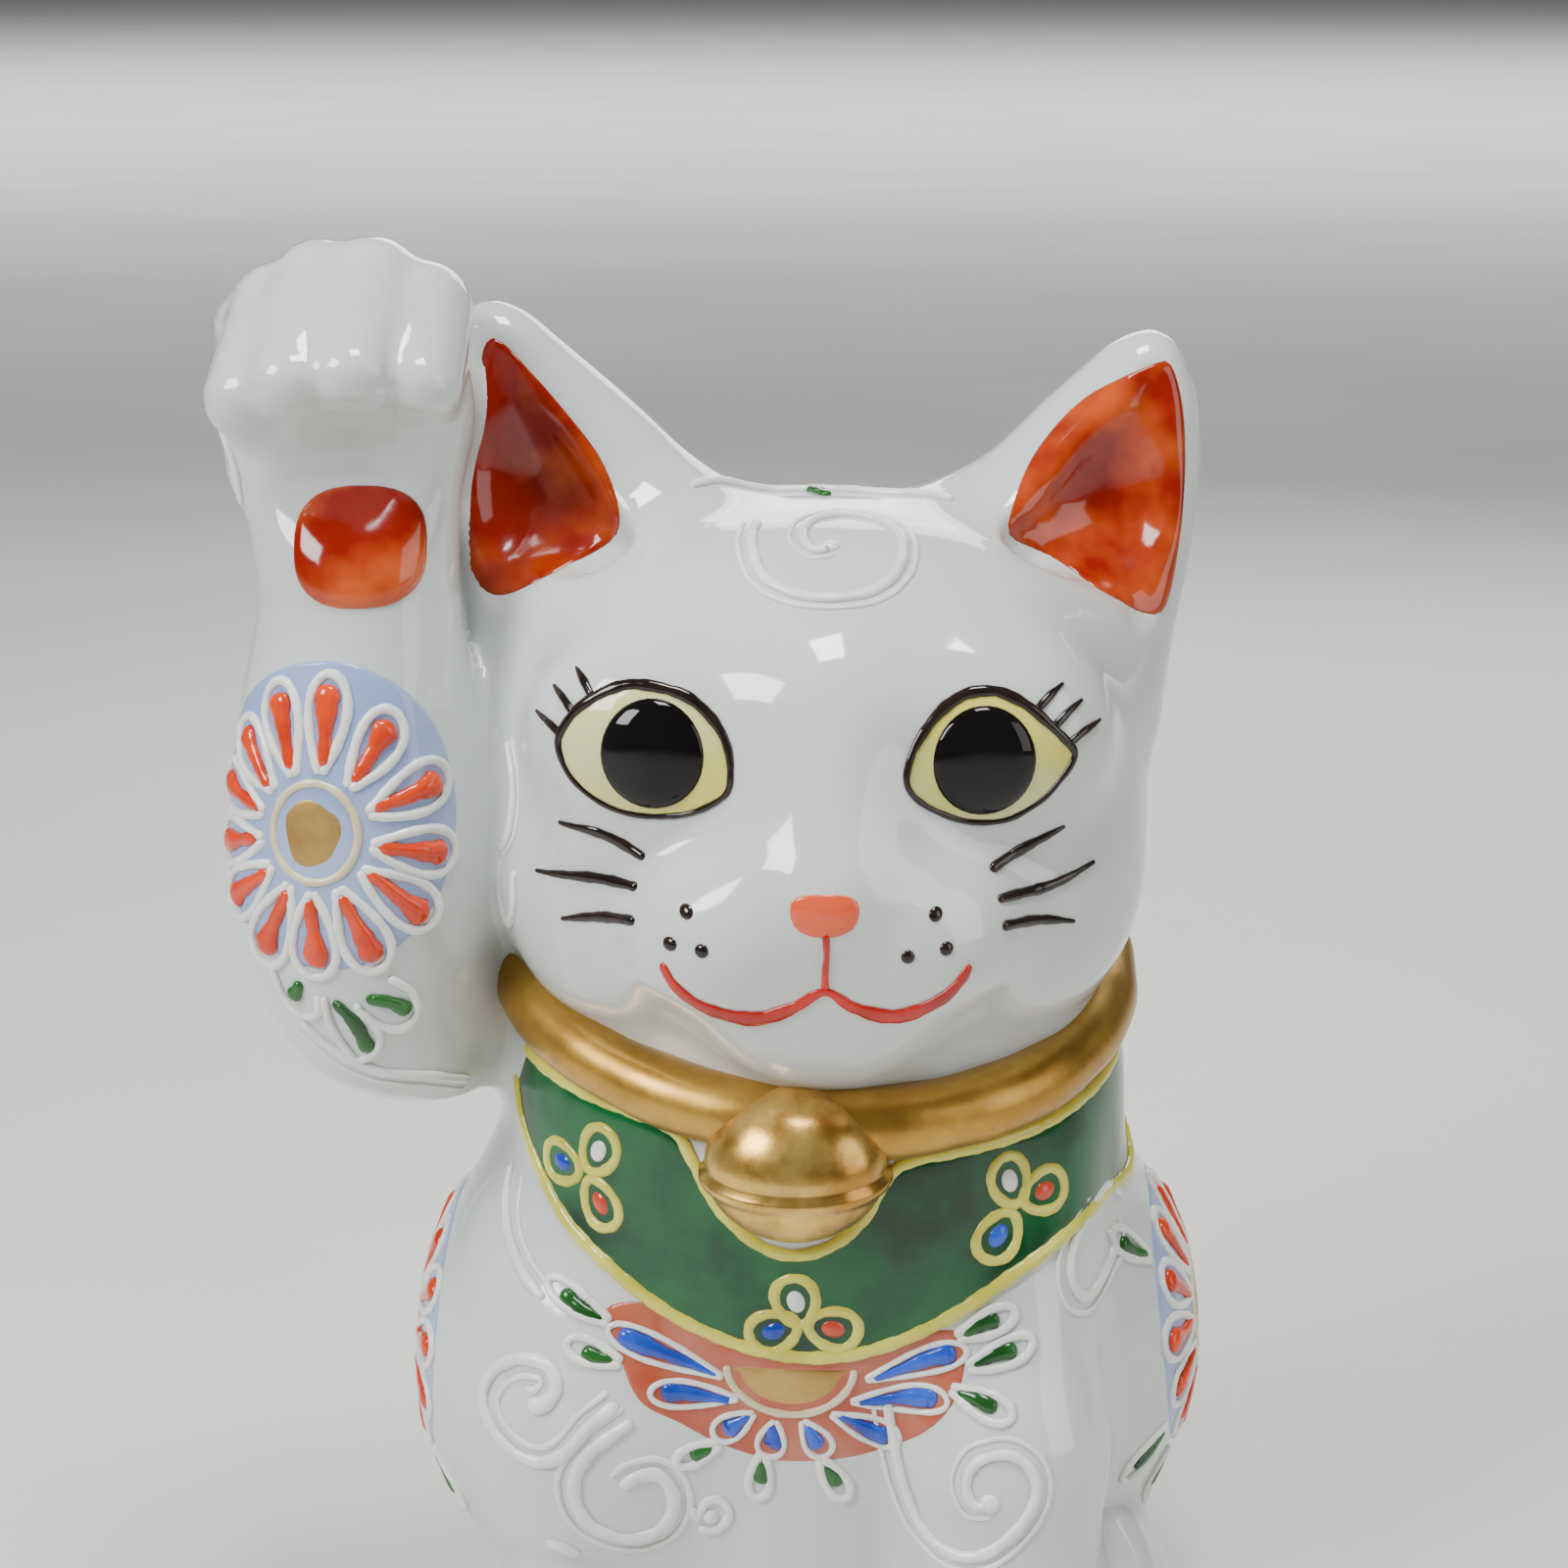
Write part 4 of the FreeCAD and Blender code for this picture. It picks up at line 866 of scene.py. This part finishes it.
def flower(stem, sheet, petals, half, ground, wash, stroke, heart, leaves,
           widths=(1.35, 1.45, 2.5), loop=0.95, field=body_field):
    """A flower's wash, petal loops, strokes and gilded heart, and its leaf strokes; gives back an
    Enamel that holds the leaves' white loops, ready for the trails beside them."""
    middle = np.mean([near for near, _ in petals], axis=0)
    patch = Enamel()
    patch.pool(sheet, ground, 0.10, 9.0, middle, field)
    patch.lay(stem + "_flower_ground", wash)
    loops, strokes = Enamel(), Enamel()
    for number, (near, far) in enumerate(petals):
        loops.bead(sheet, even(petal(near, far, half), loop), 0.5, False, field)
        along, long = far - near, np.linalg.norm(far - near)
        side = np.array([-along[1], along[0]]) / long * 0.4 * math.sin(1.7 * number)
        start, end = near + along * min(0.9 / long, 0.15), far - along * (0.95 / long)
        path = [start + side, start + (end - start) * 0.45,
                start + (end - start) * 0.82 - side * 0.5, end]
        path = np.column_stack([path, [widths[0], widths[1], widths[2], widths[2]]])
        strokes.bead(sheet, path, 0.48, False, field)
    loops.lay(stem + "_flower_petal_trails", white_enamel)
    strokes.lay(stem + "_flower_petal_strokes", stroke)
    gold = Enamel()
    gold.pool(sheet, heart, 0.22, 5.0, None, field)
    gold.lay(stem + "_flower_heart", heart_gold)
    greens, outlines = Enamel(), Enamel()
    for root, tip, wide in leaves:
        root, tip = np.array(root), np.array(tip)
        bend = (root + tip) / 2 + 0.07 * np.array([root[1] - tip[1], tip[0] - root[0]])
        greens.bead(sheet, np.column_stack([[root, bend, tip], [1.0, 1.45, 1.75]]), 0.45, False, field)
        if wide is None:
            continue
        over = (tip - root) / np.linalg.norm(tip - root)
        round_leaf = petal(root - 1.2 * over, tip + 1.5 * over, wide, 0.55)
        outlines.bead(sheet, even(round_leaf, 0.9), 0.5, False, field)
    greens.lay(stem + "_leaf_strokes", leaf_green)
    return outlines


def heart_ring(name, sheet, middle, wide, high, start=0.0, end=360.0, field=body_field):
    """The cream line round a gilded heart, whole or in part."""
    whole = end - start == 360.0
    turn = np.radians(np.linspace(start, end, 17)[: -1 if whole else None])
    ring = Enamel()
    ring.bead(sheet, even(oval(turn, *middle, wide, high), 0.8), 0.45, whole, field)
    lay(ring.made(name, cream_enamel), "white_enamel")


def heart_blob(middle, wide, high):
    """A gilded heart's uneven outline."""
    turn = circle(14)
    lump = 1 + 0.07 * np.sin(3 * turn + 1) + 0.04 * np.sin(5 * turn)
    return oval(turn, *middle, wide * lump, high * lump)


turn = circle(24)
ARM = wrapped(-44.6, -12.8, 12, -13.5, 97.5)
arm_leaf_loops = [[(6.8, -15.3), (9.2, -17.1), (10.0, -19.4), (8.4, -20.9), (5.8, -20.3),
    (3.9, -18.8), (3.5, -17.9)], [(0.0, -17.3), (0.5, -20.6), (2.9, -24.2), (5.5, -23.2),
    (5.9, -21.2), (4.2, -18.8)], [(-5.6, -14.1), (-5.0, -17.7), (-3.0, -19.7), (-0.9, -19.1),
    (-0.5, -17.1)]]
outlines = flower("raised_foreleg", ARM, wheel((0, -1.0), 5.3, 14.6,
    (-12, 19, 51, 83, 112, 140, 166, 192, 218, 244, 268, 294, 322)), 3.0,
    np.stack([15.0 * np.cos(turn), 0.9 + 14.6 * np.sin(turn) + 0.8 * np.sin(2 * turn + 1)], -1),
    blue_wash, orange_enamel, heart_blob((-0.2, -1.0), 2.9, 3.3),
    (((4.5, -17.4), (9.3, -19.2), None), ((1.1, -17.7), (4.7, -23.4), None),
    ((-2.4, -15.9), (-4.0, -17.9), None)), field=raised_field)
for path in arm_leaf_loops:
    outlines.bead(ARM, even(path, 0.9), 0.5, False, raised_field)
heart_ring("raised_foreleg_heart_ring", ARM, (0, -1.0), 4.3, 4.7, field=raised_field)
dab = Enamel()
dab.dot(ARM, -0.6, -12.6, 1.9, 2.6, 0.2, raised_field)
lay(dab.made("raised_foreleg_blue_dab", cobalt_enamel), "cobalt_enamel")
outlines.echoed(FRONT, [(-49.6, 77.0, 0.8), (-47.4, 75.0, 0.9), (-45.3, 73.3, 1.0),
    (-42.6, 72.0, 1.1), (-37.7, 70.9, 1.1), (-34.4, 69.2, 0.9)], -1.3, False, raised_field)
outlines.echoed(ARM, [(-15.6, 28.0, 0.8), (-14.6, 32.0, 1.0), (-15.2, 36.0, 0.9)], 1.2, False,
                raised_field)
outlines.lay("raised_foreleg_white_trails", white_enamel)

chest_petals = [((-9.0, 43.4), (-20.4, 47.8)), ((-7.6, 41.3), (-16.4, 41.9)),
    ((-6.2, 40.0), (-10.2, 37.2)), ((-4.3, 39.4), (-5.0, 35.3)), ((-1.8, 39.5), (0.6, 35.6)),
    ((0.8, 40.2), (7.6, 37.0)), ((2.6, 41.4), (12.2, 41.6)), ((4.0, 43.6), (14.0, 46.4))]
turn = np.linspace(-math.pi * 1.02, 0.02 * math.pi, 17)
outlines = flower("chest", FRONT, [(np.array(near), np.array(far)) for near, far in chest_petals],
    1.75, [(-20.8, 49.4), (-19.4, 45.6), (-17.4, 41.2), (-13.6, 38.8), (-9.6, 36.4), (-5.0, 35.0),
    (0, 35.0), (5.0, 35.8), (9.4, 38.0), (12.6, 41.4), (13.8, 45.0), (13.2, 48.2), (6, 47.6),
    (-2, 47.0), (-10, 47.8), (-16, 50.4)], coral_wash, cobalt_enamel,
    oval(turn, -2.9, 44.6, 5.0, 3.6), (((13.6, 47.8), (17.2, 49.4), 1.5),
    ((14.6, 45.0), (18.9, 46.7), 1.5), ((13.1, 42.6), (16.8, 41.5), 1.5),
    ((-5.6, 34.9), (-5.9, 32.2), 1.4), ((0.4, 34.6), (1.8, 32.2), 1.4),
    ((-10.4, 36.2), (-12.6, 35.2), 1.3), ((-20.8, 48.6), (-25.0, 50.6), 1.4),
    ((-19.8, 45.0), (-23.0, 45.9), 1.4)), widths=(0.75, 1.25, 2.0), loop=0.62)
heart_ring("chest_heart_ring", FRONT, (-2.9, 44.8), 6.1, 4.8, 180, 360)
outlines.echoed(FRONT, [(-30.6, 59.0, 0.8), (-31.0, 56.4, 1.0), (-30.6, 53.8, 1.05),
    (-29.0, 51.4, 1.1), (-26.8, 49.6, 0.9)], 1.3)
outlines.lay("chest_white_trails", white_enamel)

turn = circle(24)
for stem, sheet, leaf_turns in (("left_haunch", facing((20, 6, 38), 74), (140, 212, 238)),
        ("right_haunch", facing((-21, 4, 38), -74), (-66, -40, 205)),
        ("back", facing((0, 0, 58), 180), (225, 255, 285, 315))):
    leaves = [(root, tip, 1.8) for root, tip in wheel((0, 0), 15.6, 20.0, leaf_turns)]
    outlines = flower(stem, sheet, wheel((0, 0), 5.2, 13.8, np.arange(13) * 360 / 13 + 8), 2.9,
                      oval(turn, 0, 0, 14.3, 14.3), blue_wash, orange_enamel,
                      heart_blob((0, 0), 2.9, 3.1), leaves)
    heart_ring(stem + "_heart_ring", sheet, (0, 0), 4.3, 4.5)
    if stem == "left_haunch":
        outlines.echoed(FRONT, [(30.4, 54.6, 0.9), (28.2, 57.2, 1.1), (25.4, 55.8, 1.2),
            (24.2, 52.8, 1.2), (25.0, 49.9, 1.2), (27.3, 48.7, 1.1), (29.3, 50.4, 1.0),
            (28.8, 52.6, 1.0)], -1.3)
    if stem == "right_haunch":
        outlines.echoed(FRONT, [(-28.3, 40.2, 1.7), (-26.8, 40.3, 1.6), (-25.5, 42.0, 1.45),
            (-25.9, 43.7, 1.35), (-27.4, 44.3, 1.35), (-29.4, 44.0, 1.35), (-31.4, 42.6, 1.3),
            (-32.7, 40.4, 1.3), (-32.7, 38.2, 1.3), (-31.7, 36.4, 1.3), (-30.0, 35.0, 1.3),
            (-27.7, 34.4, 1.35), (-25.5, 35.1, 1.45), (-23.8, 36.7, 1.2), (-22.2, 38.8, 1.1),
            (-19.5, 41.0, 1.3)], 1.5)
        outlines.echoed(FRONT, [(-18.1, 39.2, 1.1), (-20.5, 37.6, 1.3), (-22.6, 35.6, 1.4),
            (-23.8, 32.8, 1.45), (-23.5, 29.9, 1.45), (-22.1, 27.7, 1.45), (-19.8, 26.3, 1.45),
            (-17.4, 26.2, 1.45), (-15.2, 27.5, 1.4), (-14.2, 30.0, 1.4), (-14.7, 32.3, 1.4),
            (-16.1, 33.6, 1.5), (-17.9, 33.4, 1.4), (-19.3, 32.3, 1.0)], -1.6)
        outlines.bead(FRONT, [(-12.5, 29.6, 0.8), (-12.0, 28.2, 0.9), (-11.1, 30.1, 0.9),
            (-9.6, 30.2, 0.9), (-8.8, 28.6, 0.9), (-10.2, 26.8, 0.9), (-11.9, 27.0, 0.8)], 0.45)
        outlines.dot(FRONT, -10.7, 28.4, 1.6)
        outlines.bead(FRONT, [(-26.9, 24.6, 1.4), (-25.2, 24.3, 1.7), (-23.5, 23.5, 1.2)], 0.5)
    if stem == "back":
        for u, v, hand in ((-15, 27, 1), (15, 27, -1)):
            a = np.linspace(0, 2.4 * math.pi, 20)
            coil = 5.2 * (1 - 0.6 * a / a[-1])
            curl = oval(hand * a + math.pi / 2, u, v, coil, coil)
            outlines.echoed(facing((0, 0, 0), 180), even(curl, 1.3), -1.5 * hand)
    outlines.lay(stem + "_white_trails", white_enamel)

# ---------------------------------------------------------------- white scrolls
# Scrolls of white enamel trailed freehand over the crown, nape, cheek and standing foreleg; each ends
# in a drop, and a thinner line spreads beside it.

CROWN = facing((0.3, -18, 122.5), 0, 60)
crown = Enamel()
crown.echoed(CROWN, [(-6.3, 5.2, 0.9), (-6.9, 1.0, 1.0), (-5.9, -4.2, 1.05), (-3.2, -6.9, 1.1),
    (0.3, -7.8, 1.1), (4.2, -6.6, 1.1), (6.8, -3.2, 1.05), (7.1, 1.9, 1.0), (5.1, 5.6, 1.0),
    (1.6, 6.7, 1.0), (-1.3, 4.8, 1.0), (-2.1, 1.2, 0.95), (-1.0, -1.0, 0.95), (0.5, -0.6, 0.95)],
    -1.25)
crown.dot(CROWN, 0.5, -0.2, 1.7)
over = facing((0, 0, 122), 0, 80)
crown.bead(over, [(-12.5, -4.0, 0.9), (-8.5, -0.5, 1.05), (-3.0, 1.2, 1.1), (3.0, 1.0, 1.1),
    (8.6, -1.4, 1.0), (12.8, -5.2, 0.9)], 0.55)
crown.lay("crown_scroll", white_enamel)
leaf_tip = Enamel()
leaf_tip.bead(over, [(-1.6, 2.6, 0.9), (-0.2, 0.2, 1.5), (0.8, -2.2, 1.1)], 0.45)
lay(leaf_tip.made("crown_leaf_tip", leaf_green), "leaf_green")

nape = Enamel()
for u, hand in ((-14, 1), (14, -1)):
    a = np.linspace(0, 2.5 * math.pi, 22)
    coil = 6.2 * (1 - 0.62 * a / a[-1])
    curl = oval(hand * a, u, 101, coil, coil)
    nape.echoed(facing((0, 0, 0), 180), even(curl, 1.05), -1.3 * hand)
CHEEK = facing((-31.5, -17, 95), -45)
nape.echoed(CHEEK, [(-2.2, 9.0, 0.9), (-1.8, 5.1, 1.1), (-0.6, 1.6, 1.1), (0.3, -2.0, 1.0),
    (2.2, 0.2, 1.0), (2.1, 4.7, 1.0), (0.2, 8.2, 0.9)], -1.1, False, ears_alone)
nape.bead(CHEEK, [(0.7, -3.0, 0.9), (0.2, -6.0, 1.0), (0.9, -9.6, 1.0), (3.6, -7.0, 1.0),
    (3.8, -3.4, 0.9)], 0.5, False, ears_alone)
nape.lay("nape_scrolls", white_enamel)

foreleg = Enamel()
foreleg.echoed(FRONT, [(6.4, 41.2, 0.9), (6.9, 38.2, 1.1), (8.0, 33.2, 1.2), (9.9, 28.8, 1.2),
    (12.4, 27.2, 1.2), (15.5, 27.6, 1.2), (18.6, 30.2, 1.15), (20.4, 33.4, 1.1), (20.1, 36.2, 1.1),
    (17.9, 37.8, 1.05), (14.9, 37.0, 1.0), (13.9, 34.6, 1.0), (14.7, 32.7, 1.0), (16.0, 32.9, 1.0)],
    -1.4)
foreleg.dot(FRONT, 16.1, 33.0, 1.9)
foreleg.lay("standing_foreleg_scroll", white_enamel)
